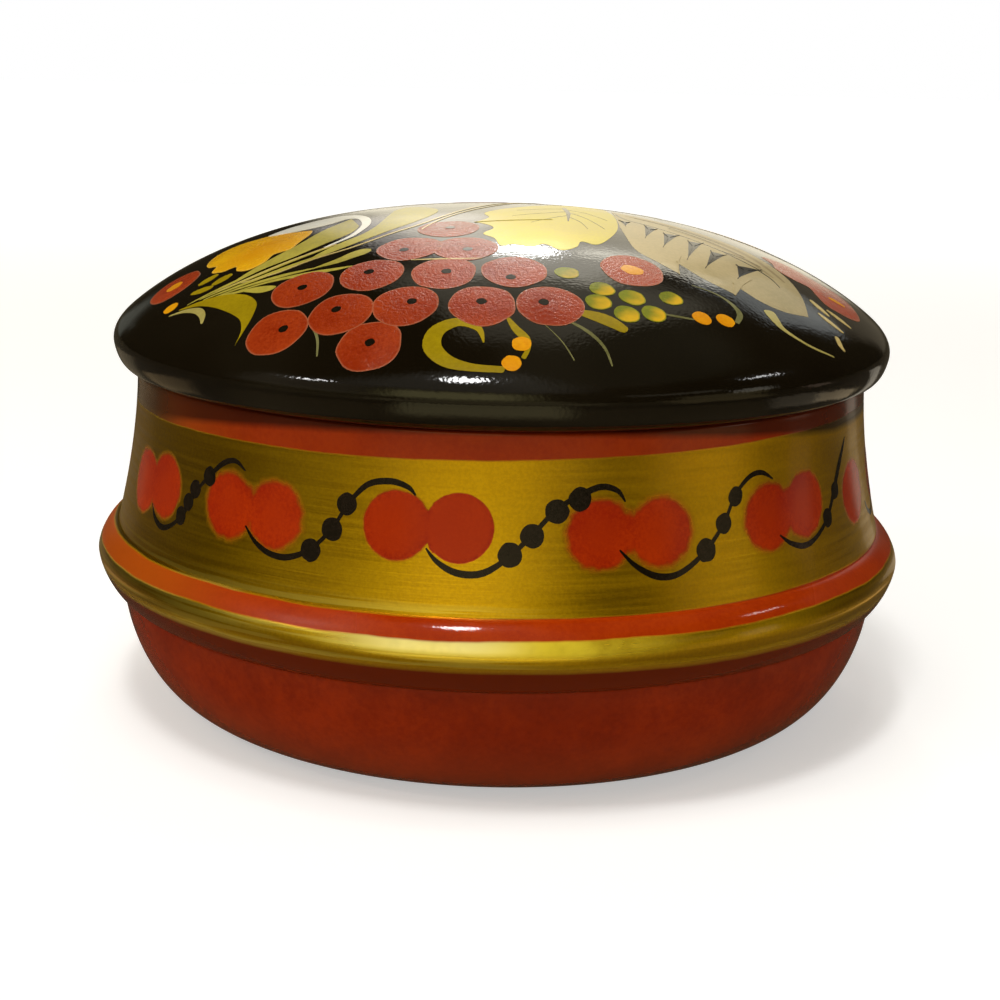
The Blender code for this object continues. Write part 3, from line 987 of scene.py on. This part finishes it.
# The cream stroke that loops over the orange flower, near white as a painted highlight: its outer
# and its inner edge
CREAM_LOOP = (
    [(-31.6, -6.0), (-29.5, -3.8), (-27.4, -2.6), (-24.9, -1.6), (-22.4, -1.2), (-20.4, -2.4),
     (-18.7, -4.9), (-17.5, -9.0), (-17.3, -12.8), (-18.0, -16.0), (-19.3, -18.8), (-22.4, -21.6)],
    [(-31.2, -7.0), (-29.0, -8.2), (-26.9, -8.8), (-24.3, -8.8), (-22.4, -7.9), (-20.9, -6.2),
     (-19.5, -7.0), (-18.7, -9.8), (-18.4, -12.8), (-18.9, -15.9), (-20.0, -18.6), (-22.6, -21.4)],
)
# Orange dots and currants, as (x, y, radius)
ORANGE_DOTS = [
    (1.2, -51.9, 1.15), (2.3, -48.9, 1.15), (24.0, -38.4, 1.25), (27.0, -37.3, 1.2),
    (-43.0, -24.3, 1.1),
]
CURRANTS = [
    (7.6, -33.6, 1.5), (11.8, -36.7, 1.55), (11.3, -39.7, 1.6), (15.4, -37.5, 1.65), (14.7, -41.3, 1.6),
    (18.0, -40.1, 1.6), (20.2, -35.8, 1.5),
]
# Red flowers as (x, y, radius, how tall), and the radius of their eyes as a share of it
RED_FLOWERS = [(15.6, -30.4, 3.9, 1.1), (-43.6, -15.8, 3.8, 1.1), (-3.4, 16.0, 4.2, 1.2)]
FLOWER_EYE = 0.34
# The orange flower at the left: a middle from which all of its outline is seen, and the outline
ORANGE_FLOWER_MIDDLE = (-32.0, -13.4)
ORANGE_FLOWER = [
    (-39.4, -11.4), (-38.4, -7.2), (-35.9, -5.4), (-33.1, -6.0), (-30.5, -6.9), (-27.8, -9.0),
    (-25.2, -10.6), (-25.2, -13.4), (-26.2, -16.2), (-27.2, -18.8), (-29.3, -19.2), (-30.2, -21.4),
    (-32.2, -22.6), (-34.0, -21.4), (-34.4, -19.4), (-36.2, -19.4), (-37.9, -17.9), (-37.6, -15.6),
    (-38.9, -14.2),
]
# The flower at the far right, with its eye
FAR_FLOWER_MIDDLE = (42.0, -12.6)
FAR_FLOWER_EYE = [(43.4, -14.9, 0.6), (44.6, -14.4, 1.3), (46.0, -14.4, 0.5)]
FAR_FLOWER = [
    (34.4, -8.4), (37.4, -6.6), (40.2, -7.6), (42.4, -8.2), (45.3, -8.6), (47.6, -10.8), (48.2, -15.9),
    (46.6, -18.4), (44.2, -19.4), (42.4, -19.2), (41.2, -17.2), (40.4, -15.0), (38.2, -14.9),
    (35.9, -13.4), (35.6, -10.6),
]
# The yellow leaf
YELLOW_LEAF_MIDDLE = (6.5, -12.0)
YELLOW_LEAF = [
    (-3.6, -15.2), (-3.6, -15.2), (-2.0, -12.0), (-2.6, -8.0), (-0.4, -3.2), (2.2, 0.6), (4.8, 4.4),
    (8.8, 8.8), (12.9, 7.2), (14.2, 0.6), (14.7, -7.2), (14.4, -15.0), (12.9, -20.8), (11.4, -23.4),
    (9.6, -22.8), (8.9, -25.2), (7.0, -26.8), (5.0, -25.0), (3.4, -26.2), (1.2, -25.6), (-0.4, -26.2),
    (-1.2, -23.4), (-2.6, -21.4), (-1.4, -19.0), (-1.8, -17.2),
]
# The beige leaf: its upper edge, and its lower edge with three lobes
BEIGE_LEAF = (
    [(14.6, 2.6), (17.6, 0.4), (21.4, -2.4), (26.4, -5.4), (31.4, -8.4), (35.0, -12.4), (37.4, -16.8),
     (38.6, -22.0), (38.9, -27.3)],
    [(14.9, -13.0), (16.2, -22.6), (19.2, -26.4), (21.5, -28.4), (21.5, -28.4), (21.6, -25.0),
     (21.6, -25.0), (24.6, -28.0), (28.5, -29.8), (28.5, -29.8), (28.7, -26.9), (28.7, -26.9),
     (32.0, -29.1), (35.4, -29.2), (38.9, -27.3)],
)
# Its midrib, and the dark notches in it, each by three corners
MIDRIB_WIDTH = 0.25
MIDRIB = [
    (14.8, 0.4), (15.9, -5.4), (18.6, -7.9), (22.5, -10.7), (25.6, -12.7), (28.4, -14.4), (30.6, -16.0),
    (33.4, -17.8),
]
NOTCHES = [
    (15.1, -7.4, 16.4, -7.8, 15.7, -11.2), (18.4, -8.4, 19.8, -10.0, 18.0, -16.3),
    (20.7, -12.0, 22.6, -11.4, 20.2, -19.0), (23.8, -13.6, 25.7, -12.8, 23.1, -22.0),
    (26.6, -16.1, 28.5, -15.9, 25.4, -23.5), (29.8, -19.2, 33.0, -17.6, 29.6, -23.9),
]
# Fine veins: those of the yellow leaf fan out from its midrib, and the beige leaf's run along it
LEAF_FAN = [
    [(8.0, 1.6, 0.6), (8.4, -5.0, 0.6), (8.2, -12.4, 0.2)],
    [(8.4, -1.0, 0.22), (10.6, -3.4, 0.13), (13.4, -9.0, 0.08)],
    [(8.4, -4.4, 0.22), (10.4, -8.4, 0.13), (12.8, -15.4, 0.08)],
    [(8.3, -8.6, 0.2), (9.8, -12.4, 0.1), (10.6, -16.4, 0.06)],
    [(8.0, 0.2, 0.22), (5.0, -1.6, 0.13), (1.6, -4.4, 0.08)],
    [(8.2, -3.4, 0.22), (5.2, -6.4, 0.13), (1.0, -10.2, 0.08)],
    [(8.2, -7.6, 0.2), (5.6, -11.4, 0.1), (3.4, -14.6, 0.06)],
]
VEINS = [
    [(17.4, -2.6, 0.15), (22.6, -6.0, 0.25), (28.4, -9.6, 0.2)],
    [(21.6, -6.8, 0.15), (26.2, -9.8, 0.22), (31.4, -13.6, 0.12)],
    [(28.2, -14.2, 0.3), (30.8, -14.6, 0.2), (33.4, -15.8, 0.1)],
    [(32.6, -17.8, 0.3), (34.4, -19.6, 0.2), (35.4, -21.8, 0.1)],
]
# Cream petals beside the far flower
CREAM_PETALS = [
    [(39.8, -20.8, 0.5), (41.0, -22.0, 1.1), (42.4, -23.2, 0.4)],
    [(40.6, -24.2, 0.4), (42.2, -25.0, 1.0), (44.3, -25.8, 0.4)],
    [(42.2, -21.2, 0.4), (43.9, -21.8, 1.0), (45.9, -22.4, 0.3)],
    [(43.0, -28.2, 0.7), (43.5, -29.9, 0.8), (44.2, -30.6, 0.3)],
]


# The back of the lid isn't seen: the left spray is painted there again, turned half round, and the
# currants with their flower and curls stand on its other side
BACK_SPRAY_TURN = 180
BACK_CURRANTS_TURN = 205


def spray_again(points):
    return turned_round(points, BACK_SPRAY_TURN)


def currants_again(points):
    return turned_round(points, BACK_CURRANTS_TURN)


def strokes(lines, coat):
    return [stroke(on_dome, line, coat) for line in lines]


def finish_on_lid(name, patches, material):
    finish_paint(name, patches, material, "lid")


def paint_berries(black):
    """The rowan berries, and the black eye of each."""
    berries = FRONT_BERRIES + BACK_BERRIES
    reds = [disc(on_dome, x, y, LID_BERRY, 4 + k % 3, 0.08) for k, (x, y, _, _) in enumerate(berries)]
    finish_on_lid("rowan_berries", reds, berry_paint("rowan_red", *BERRY_RED))
    eyes = [disc(on_dome, x + dx, y + dy, EYE, 7, 0.15) for x, y, dx, dy in berries]
    finish_on_lid("berry_eyes", eyes, black)


def paint_grass():
    """The green-gold leaves of the spray and their stalks."""
    back_leaves = [[spray_again(edge) for edge in GRASS_LEAVES[k]] for k in (0, 2, 3)]
    grass = [leaf(on_dome, *edges, k % 2) for k, edges in enumerate(GRASS_LEAVES + back_leaves)]
    grass += strokes(GRASS_STALKS + [spray_again(line) for line in GRASS_STALKS], 2)
    finish_on_lid("grass_leaves", grass, flat_paint("green_gold", *GREEN_GOLD, metal=0.12, rough=0.30))


def paint_curls():
    """The green strokes on the black ground: broad with the comma leaf, thin, and pale."""
    curls = strokes(CURLS + [spray_again(line) for line in CURLS[3:]] + [currants_again(CURLS[2])], 3)
    curls += [leaf(on_dome, *COMMA, 3), leaf(on_dome, *[spray_again(edge) for edge in COMMA], 3)]
    finish_on_lid("curls", curls, flat_paint("yellow_green", *YELLOW_GREEN))
    thin = THIN_CURLS + [currants_again(line) for line in THIN_CURLS[3:]]
    finish_on_lid("thin_curls", strokes(thin, 2), flat_paint("thin_green", *THIN_GREEN))
    pale = PALE_CURLS + [spray_again(PALE_CURLS[0]), currants_again(PALE_CURLS[1])]
    finish_on_lid("pale_curls", strokes(pale, 2), flat_paint("pale_green", *PALE_GREEN))


def paint_stems():
    """The cream stems and petals, and the cream stroke over the orange flower, painted near white as a
    painted highlight.
    """
    finish_on_lid("cream_stems", strokes(STEMS + CREAM_PETALS, 5), flat_paint("cream_paint", *CREAM))
    finish_on_lid("cream_loop_glint", [leaf(on_dome, *CREAM_LOOP, 4)], flat_paint("cream_glint_paint", *LOOP_CREAM_GLINT))


def paint_currants_and_flowers():
    """The currants and the flowers, with the orange dots between them and in the flowers' eyes."""
    dot_places = ORANGE_DOTS + currants_again(ORANGE_DOTS[2:4]) + spray_again(ORANGE_DOTS[4:])
    flower_places = RED_FLOWERS + currants_again(RED_FLOWERS[:1]) + spray_again(RED_FLOWERS[1:2])
    dots = [disc(on_dome, x, y, r, 5, 0.1) for x, y, r in dot_places]
    dots += [disc(on_dome, x, y, r * FLOWER_EYE, 6, 0.2) for x, y, r, _ in flower_places]
    dots += strokes([FAR_FLOWER_EYE], 5)
    finish_on_lid("orange_dots", dots, flat_paint("orange_paint", *ORANGE))
    places = enumerate(CURRANTS + currants_again(CURRANTS))
    currants = [disc(on_dome, x, y, r, 4 + k % 2, 0.1) for k, (x, y, r) in places]
    finish_on_lid("currants", currants, blushed_paint("currant_green", *CURRANT_GREEN))
    flowers = [disc(on_dome, x, y, r, 4, 0.08, tall) for x, y, r, tall in flower_places]
    flowers.append(dab(on_dome, FAR_FLOWER_MIDDLE, FAR_FLOWER, 3))
    finish_on_lid("red_flowers", flowers, berry_paint("flower_red", *FLOWER_RED))
    petals = [dab(on_dome, ORANGE_FLOWER_MIDDLE, ORANGE_FLOWER, 3)]
    petals.append(dab(on_dome, *spray_again([ORANGE_FLOWER_MIDDLE]), spray_again(ORANGE_FLOWER), 3))
    finish_on_lid("orange_flower", petals, berry_paint("flower_orange", *FLOWER_ORANGE))


def paint_broad_leaves(black):
    """The yellow leaf and the beige one, with their shading, notches and veins."""
    gilding = flat_paint("leaf_gilding", *LEAF_GOLD, metal=0.35, rough=0.32)
    pale_gilding = flat_paint("pale_gilding", *PALE_GOLD, metal=0.25, rough=0.36)
    wash = flat_paint("brown_wash", *WASH_BROWN, metal=0.25, rough=0.36)
    finish_on_lid("yellow_leaf", [dab(on_dome, YELLOW_LEAF_MIDDLE, YELLOW_LEAF, 1)], gilding)
    finish_on_lid("beige_leaf", [leaf(on_dome, *BEIGE_LEAF, 0)], pale_gilding)
    finish_on_lid("leaf_wash", strokes(LEAF_WASH, 1), wash)
    veins = []
    for a, b, c, d, e, f in NOTCHES:
        corners = [(a, b), (a, b), (c, d), (c, d), (e, f), (e, f)]
        veins.append(dab(on_dome, ((a + c + e) / 3, (b + d + f) / 3), corners, 2))
    veins += strokes([[(x, y, MIDRIB_WIDTH) for x, y in MIDRIB]], 2) + strokes(VEINS, 3)
    finish_on_lid("leaf_veins", veins, black)
    finish_on_lid("leaf_fan", strokes(LEAF_FAN, 3), flat_paint("vein_brown", *VEIN_BROWN))


def paint_lid():
    black = flat_paint("black_paint", *EYE_BLACK)
    paint_berries(black)
    paint_grass()
    paint_curls()
    paint_stems()
    paint_currants_and_flowers()
    paint_broad_leaves(black)


def band_berry_places():
    """All berries of the band: those that the photograph shows, and the guessed pairs at the back."""
    places = list(SEEN_BERRIES)
    for pair in BACK_PAIRS:
        middle = FIRST_PAIR + pair * PAIR_STEP
        drift = 0.5 * noise.noise(Vector((pair * 1.7, 3.1, 0)))
        places.append((middle - HALF_PAIR + drift, 34.5 + drift, 1.0 + drift))
        places.append((middle + HALF_PAIR + drift, 34.6 - drift, 1.0))
    return np.array(places)


def berry_depths(piece):
    """Writes how deep each point of the wall lies in the nearest berry: millimetres by crispness."""
    angles, heights, crispness = band_berry_places().T
    attribute = piece.data.attributes.new("berry_depth", "FLOAT", "POINT")
    for vertex in piece.data.vertices:
        radius, height = math.hypot(vertex.co.x, vertex.co.y), vertex.co.z / MM
        depth = -BAND_BERRY
        if CREASE_HEIGHT < height < SEAT_HEIGHT and radius > TENON_RADIUS * MM:
            angle = math.degrees(math.atan2(vertex.co.x, -vertex.co.y))
            across = np.radians((angle - angles + 180) % 360 - 180) * wall_radius(height)
            depth = float(np.max((BAND_BERRY - np.hypot(across, height - heights)) * crispness))
        attribute.data[vertex.index].value = depth


def tendril(line, dots, pairs_on):
    """A black S between two berry pairs, with its dots, moved on by a number of pairs."""
    turn_on = pairs_on * PAIR_STEP
    points = [(*flat_wall(angle + turn_on, height), width) for angle, height, width in line]
    pieces = [stroke(on_wall_flat, points, 1)]
    for angle, height, radius in dots:
        pieces.append(disc(on_wall_flat, *flat_wall(angle + turn_on, height), radius, 2, 0.12))
    return pieces


def flat_wall(angle, height):
    """A place on the wall as distances in millimetres, round the wall and up."""
    return math.radians(angle) * CREASE_RADIUS, height


def on_wall_flat(across, height, lift):
    """Like on_wall, with a distance in millimetres round the wall in place of the angle."""
    return on_wall(math.degrees(across / CREASE_RADIUS), height, lift)


def paint_band():
    """The black tendrils from the left round the wall. Past the seen ones they begin again."""
    black = flat_paint("tendril_black", *TENDRIL_BLACK)
    marks = []
    for place in range(TENDRIL_PLACES):
        model = place if place < len(TENDRILS) else (place - 1) % 4
        marks += tendril(*TENDRILS[model], place - model)
    finish_paint("black_tendrils", marks, black, "body")


def main():
    body = turn("painted_body", body_section(), BODY_STEPS)
    lid = turn("painted_lid", lid_section(), LID_STEPS)
    berry_depths(body)
    inside = inside_lacquer()
    mouth, seat, floor = CAVITY_RADIUS + EDGE, NECK_RADIUS - 0.8, FLOOR_HEIGHT - 0.5
    socket, ceiling = SOCKET_RADIUS + EDGE, SOCKET_CEILING + HOLLOW_RISE + 0.1
    body.data.materials.append(body_paint())
    give_faces(body, inside, lambda r, z, normal: r < mouth and z > floor)
    give_faces(body, bare_wood(), lambda r, z, normal: mouth <= r < seat and z > SEAT_HEIGHT - 0.2)
    lid.data.materials.append(black_lacquer())
    give_faces(lid, inside, lambda r, z, normal: r < socket and normal.z < 0.1 and z < ceiling)
    pieces = ((body, "box_body", "body", "body_lacquer"), (lid, "lid", "lid", "lid_lacquer"))
    for piece, node, name, slot in pieces:
        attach(piece, name)
        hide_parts(node)
    paint_lid()
    paint_band()


# The studio

# Tints of the light. Then how bright the room is for the paint, and how bright the room and the
# floor are in the mirror of the lacquer
WARM = (1.0, 0.88, 0.68)
DIM_WARM = (1.0, 0.78, 0.45)
NO_LIGHT = (0, 0, 0, 1)
WHITE = (1, 1, 1, 1)
AMBIENT = 0.19
ROOM_DIM = 0.02
FLOOR_DIM = 0.05
# The floor's size, and how far from the box it turns white, in metres
FLOOR_SIZE = 8
FLOOR_WHITENS = (0.2, 1.2)
# Its colour, and its colour where the lacquer mirrors it
FLOOR_PALE = (0.80, 0.80, 0.79, 1)
FLOOR_MIRRORED = (0.02, 0.02, 0.02, 1)
# The height that the lamps are turned to
LIT_HEIGHT = 45
# The camera, as it was found from the outline in the photograph. Its angles are in degrees
CAMERA_AWAY = 245
CAMERA_HEIGHT = 87.2
CAMERA_DOWN = 14.0
CAMERA_TURN = -0.05
CAMERA_LEAN = 1.24
LENS = 64.66
FILM_WIDTH = 36
# Cards of light that the lacquer mirrors in the room: the measures below, with low and high as
# elevations, all in degrees, then strength and tint
CARD_MEASURES = ("Azimuth", "Half Width", "Soft Sides", "Low", "High", "Soft Ends")
CARDS = [
    (175.5, 9, 4, 0, 46, 4, 1.22, (1, 0.92, 0.72)), (158, 8, 6, 2, 30, 8, 0.14, (1, 0.85, 0.6)),
    (152, 6.5, 2.5, 22, 36, 1.5, 0.75, (0.93, 1, 1)), (52, 12, 6, 21, 25, 2, 0.35, (1, 0.92, 0.7)),
    (-15, 25, 30, 45, 80, 12, 0.30, (1, 0.97, 0.85)), (90, 75, 20, 55, 90, 10, 0.07, (1, 1, 0.7)),
    (172, 20, 8, 48, 70, 10, 0.5, (1, 0.93, 0.72)), (177, 7, 5, 31, 45, 5, 0.9, (1, 0.97, 0.9)),
    (165.5, 6.5, 2.5, 32, 34.5, 1.2, 2.6, (1, 0.95, 0.8)),
    (185.5, 3.5, 3, 14, 34, 5, 1.1, (1, 0.93, 0.86)), (-13, 10, 20, 16, 29, 13, 1.25, (1, 0.90, 0.42)),
    (-3, 17, 10, -5, 6, 4, 0.40, (1, 0.88, 0.46)), (-153, 4, 3, -2, 9, 4, 0.13, (0.95, 1, 0.85)),
    (-60, 14, 12, 12, 34, 8, 0.2, (1, 0.9, 0.7)), (-50, 14, 14, -5, 12, 5, 0.10, (1, 0.88, 0.5)),
    (65, 10, 8, -5, 8, 5, 0.41, (1, 0.8, 0.4)), (76, 4, 4, 9, 16, 3, 1.2, (1, 0.95, 0.8)),
]
# The same on the table round the box, with low and high as centimetres from its middle
TABLE_CARDS = [
    (-4, 15, 9, 11, 25, 3, 0.72, (1, 0.88, 0.44)), (-4, 24, 12, 36, 300, 8, 0.33, (1, 0.86, 0.45)),
    (-50, 14, 14, 30, 300, 10, 0.08, (1, 0.86, 0.45)), (38, 10, 10, 24, 300, 8, 0.05, (1, 0.82, 0.4)),
    (82, 8, 6, 10.5, 14.5, 1.5, 0.30, (1, 0.85, 0.6)), (0, 60, 20, 8, 13, 2, 0.10, (1, 0.75, 0.35)),
    (59, 10, 9, 25, 300, 8, 0.40, (1, 0.78, 0.35)), (96.5, 4.5, 0.8, 38, 300, 6, 0.42, (1, 0.70, 0.52)),
    (130, 3.5, 2, 12, 40, 4, 0.48, (1, 0.90, 0.72)), (103, 10, 4, 11, 14, 1, 0.7, (1, 0.78, 0.48)),
    (-102, 12, 6, 9.5, 14, 1.5, 0.27, (1, 0.7, 0.35)), (-134, 9, 5, 14, 28, 3, 0.12, (1, 0.8, 0.5)),
]


def aim(obj, azimuth, elevation, distance):
    """Puts obj at a direction from the box, 0 degrees being the photographed side, facing it."""
    a, e = math.radians(azimuth), math.radians(elevation)
    away = Vector((math.sin(a) * math.cos(e), -math.cos(a) * math.cos(e), math.sin(e)))
    obj.location = Vector((0, 0, LIT_HEIGHT * MM)) + away * distance
    obj.rotation_euler = away.to_track_quat("Z", "Y").to_euler()


def softbox(name, azimuth, elevation, distance, width, height, radiance, colour=(1, 1, 1),
            mirrored=True, tilt=0):
    """A lamp with its distance and size in metres. A mirrored one is round and seen in the lacquer."""
    nothing_selected()
    bpy.ops.object.light_add(type="AREA")
    lamp = bpy.context.object
    lamp.name = name
    lamp.data.shape = "ELLIPSE" if mirrored else "RECTANGLE"
    lamp.data.size = width
    lamp.data.size_y = height
    lamp.data.energy = radiance * math.pi * width * height * (math.pi / 4 if mirrored else 1)
    lamp.data.color = colour
    lamp.visible_glossy = mirrored
    aim(lamp, azimuth, elevation, distance)
    lamp.rotation_euler.rotate_axis("Z", math.radians(tilt))
    return lamp


def studio_floor():
    """A pale floor that keeps the shadow. Far off it is plain white, and the lacquer mirrors it dimly."""
    nothing_selected()
    bpy.ops.mesh.primitive_plane_add(size=FLOOR_SIZE, location=(0, 0, 0))
    floor = bpy.context.object
    floor.name = "studio_floor"
    material, tree, shader, place = new_material("pale_floor")
    light = add(tree, "LightPath").outputs
    away = add(tree, "VectorMath", {"operation": "LENGTH"}, n0=place).outputs["Value"]
    mirrored = maths(tree, "MAXIMUM", light["Is Glossy Ray"], light["Is Transmission Ray"])
    dim = [FLOOR_DIM * share for share in DIM_WARM]
    cards = cards_of_light(tree, place, times(tree, away, 100.0), TABLE_CARDS, dim)
    seen = mixed(tree, between(tree, away, *FLOOR_WHITENS, 0.45, 1.0), NO_LIGHT, WHITE)
    glow = mixed(tree, light["Is Camera Ray"], mixed(tree, mirrored, NO_LIGHT, cards), seen)
    colour = mixed(tree, mirrored, FLOOR_PALE, FLOOR_MIRRORED)
    set_inputs(tree, shader, Base_Color=colour, Roughness=0.7, Specular_IOR_Level=0.0)
    set_inputs(tree, shader, Emission_Color=glow, Emission_Strength=1.0)
    floor.data.materials.append(material)


def card_group():
    """A soft-edged card of light, by the azimuth that is looked at and a second measure, Reach."""
    inputs = [("Vector", "Vector", None), ("Reach", "Float", 0.0)]
    inputs += [(measure, "Float", 0.0) for measure in CARD_MEASURES]
    group, given, out = new_group("studio_card", inputs, [("Light", "Float")])
    way = add(group, "SeparateXYZ", Vector=given["Vector"]).outputs
    turned = maths(group, "DEGREES", maths(group, "ARCTAN2", way[0], times(group, way[1], -1.0)))
    apart = maths(group, "COSINE", maths(group, "RADIANS", minus(group, turned, given["Azimuth"])))
    apart = maths(group, "DEGREES", maths(group, "ARCCOSINE", apart))
    half = given["Half Width"]
    sides = between(group, apart, plus(group, half, given["Soft Sides"]), half)
    low = between(group, given["Reach"], minus(group, given["Low"], given["Soft Ends"]), given["Low"])
    high = between(group, given["Reach"], plus(group, given["High"], given["Soft Ends"]), given["High"])
    group.links.new(times(group, sides, times(group, low, high)), out["Light"])
    return group


def cards_of_light(tree, way, reach, cards, light):
    """Adds the light of a list of cards to the plain light of the room."""
    for *measures, strength, tint in cards:
        values = dict(zip(CARD_MEASURES, measures))
        card = group_node(tree, CARD, Vector=way, Reach=reach, **values)["Light"]
        lit = [strength * share for share in tint]
        light = add(tree, "VectorMath", {"operation": "MULTIPLY_ADD"}, n0=card, n1=lit, n2=light).outputs[0]
    return light


CARD = card_group()


def studio_room():
    """White where the camera looks, and a dim room with pale cards where the lacquer mirrors it."""
    world = bpy.data.worlds.new("studio_room")
    bpy.context.scene.world = world
    world.use_nodes = True
    tree = world.node_tree
    way = add(tree, "TexCoord").outputs["Generated"]
    raised = add(tree, "SeparateXYZ", Vector=way).outputs[2]
    raised = maths(tree, "DEGREES", maths(tree, "ARCSINE", raised))
    room = cards_of_light(tree, way, raised, CARDS, [ROOM_DIM * share for share in DIM_WARM])
    light = add(tree, "LightPath").outputs
    colour = mixed(tree, light["Is Diffuse Ray"], room, [AMBIENT * share for share in WARM] + [1])
    colour = mixed(tree, light["Is Camera Ray"], colour, WHITE)
    tree.links.new(colour, tree.nodes["Background"].inputs["Color"])


def studio_camera():
    bpy.ops.object.camera_add(location=(0, -CAMERA_AWAY * MM, CAMERA_HEIGHT * MM))
    camera = bpy.context.object
    level = Euler((math.radians(90 - CAMERA_DOWN), 0, math.radians(CAMERA_TURN))).to_matrix()
    lean = Matrix.Rotation(math.radians(CAMERA_LEAN), 3, "Z")
    camera.rotation_euler = (level @ lean).to_euler()
    camera.data.sensor_width = FILM_WIDTH
    camera.data.lens = LENS
    camera.data.clip_start = 0.01
    bpy.context.scene.camera = camera


def studio():
    bpy.context.scene.view_settings.view_transform = "Standard"
    studio_floor()
    studio_room()
    softbox("soft_key", -50, 42, 1.1, 0.9, 0.7, 0.90, WARM, mirrored=False)
    softbox("overhead_fill", -20, 75, 0.9, 0.4, 0.4, 4.4, mirrored=False)
    softbox("overhead_lamp", -17.5, 66, 0.8, 0.108, 0.15, 42)
    softbox("back_lamp", 178, 36, 1.0, 0.095, 0.062, 24)
    softbox("right_lamp", 91, 36.5, 0.9, 0.19, 0.034, 12, tilt=-21)
    softbox("left_lamp", -60, 36.5, 0.9, 0.17, 0.028, 36, tilt=27)
    studio_camera()


main()
studio()
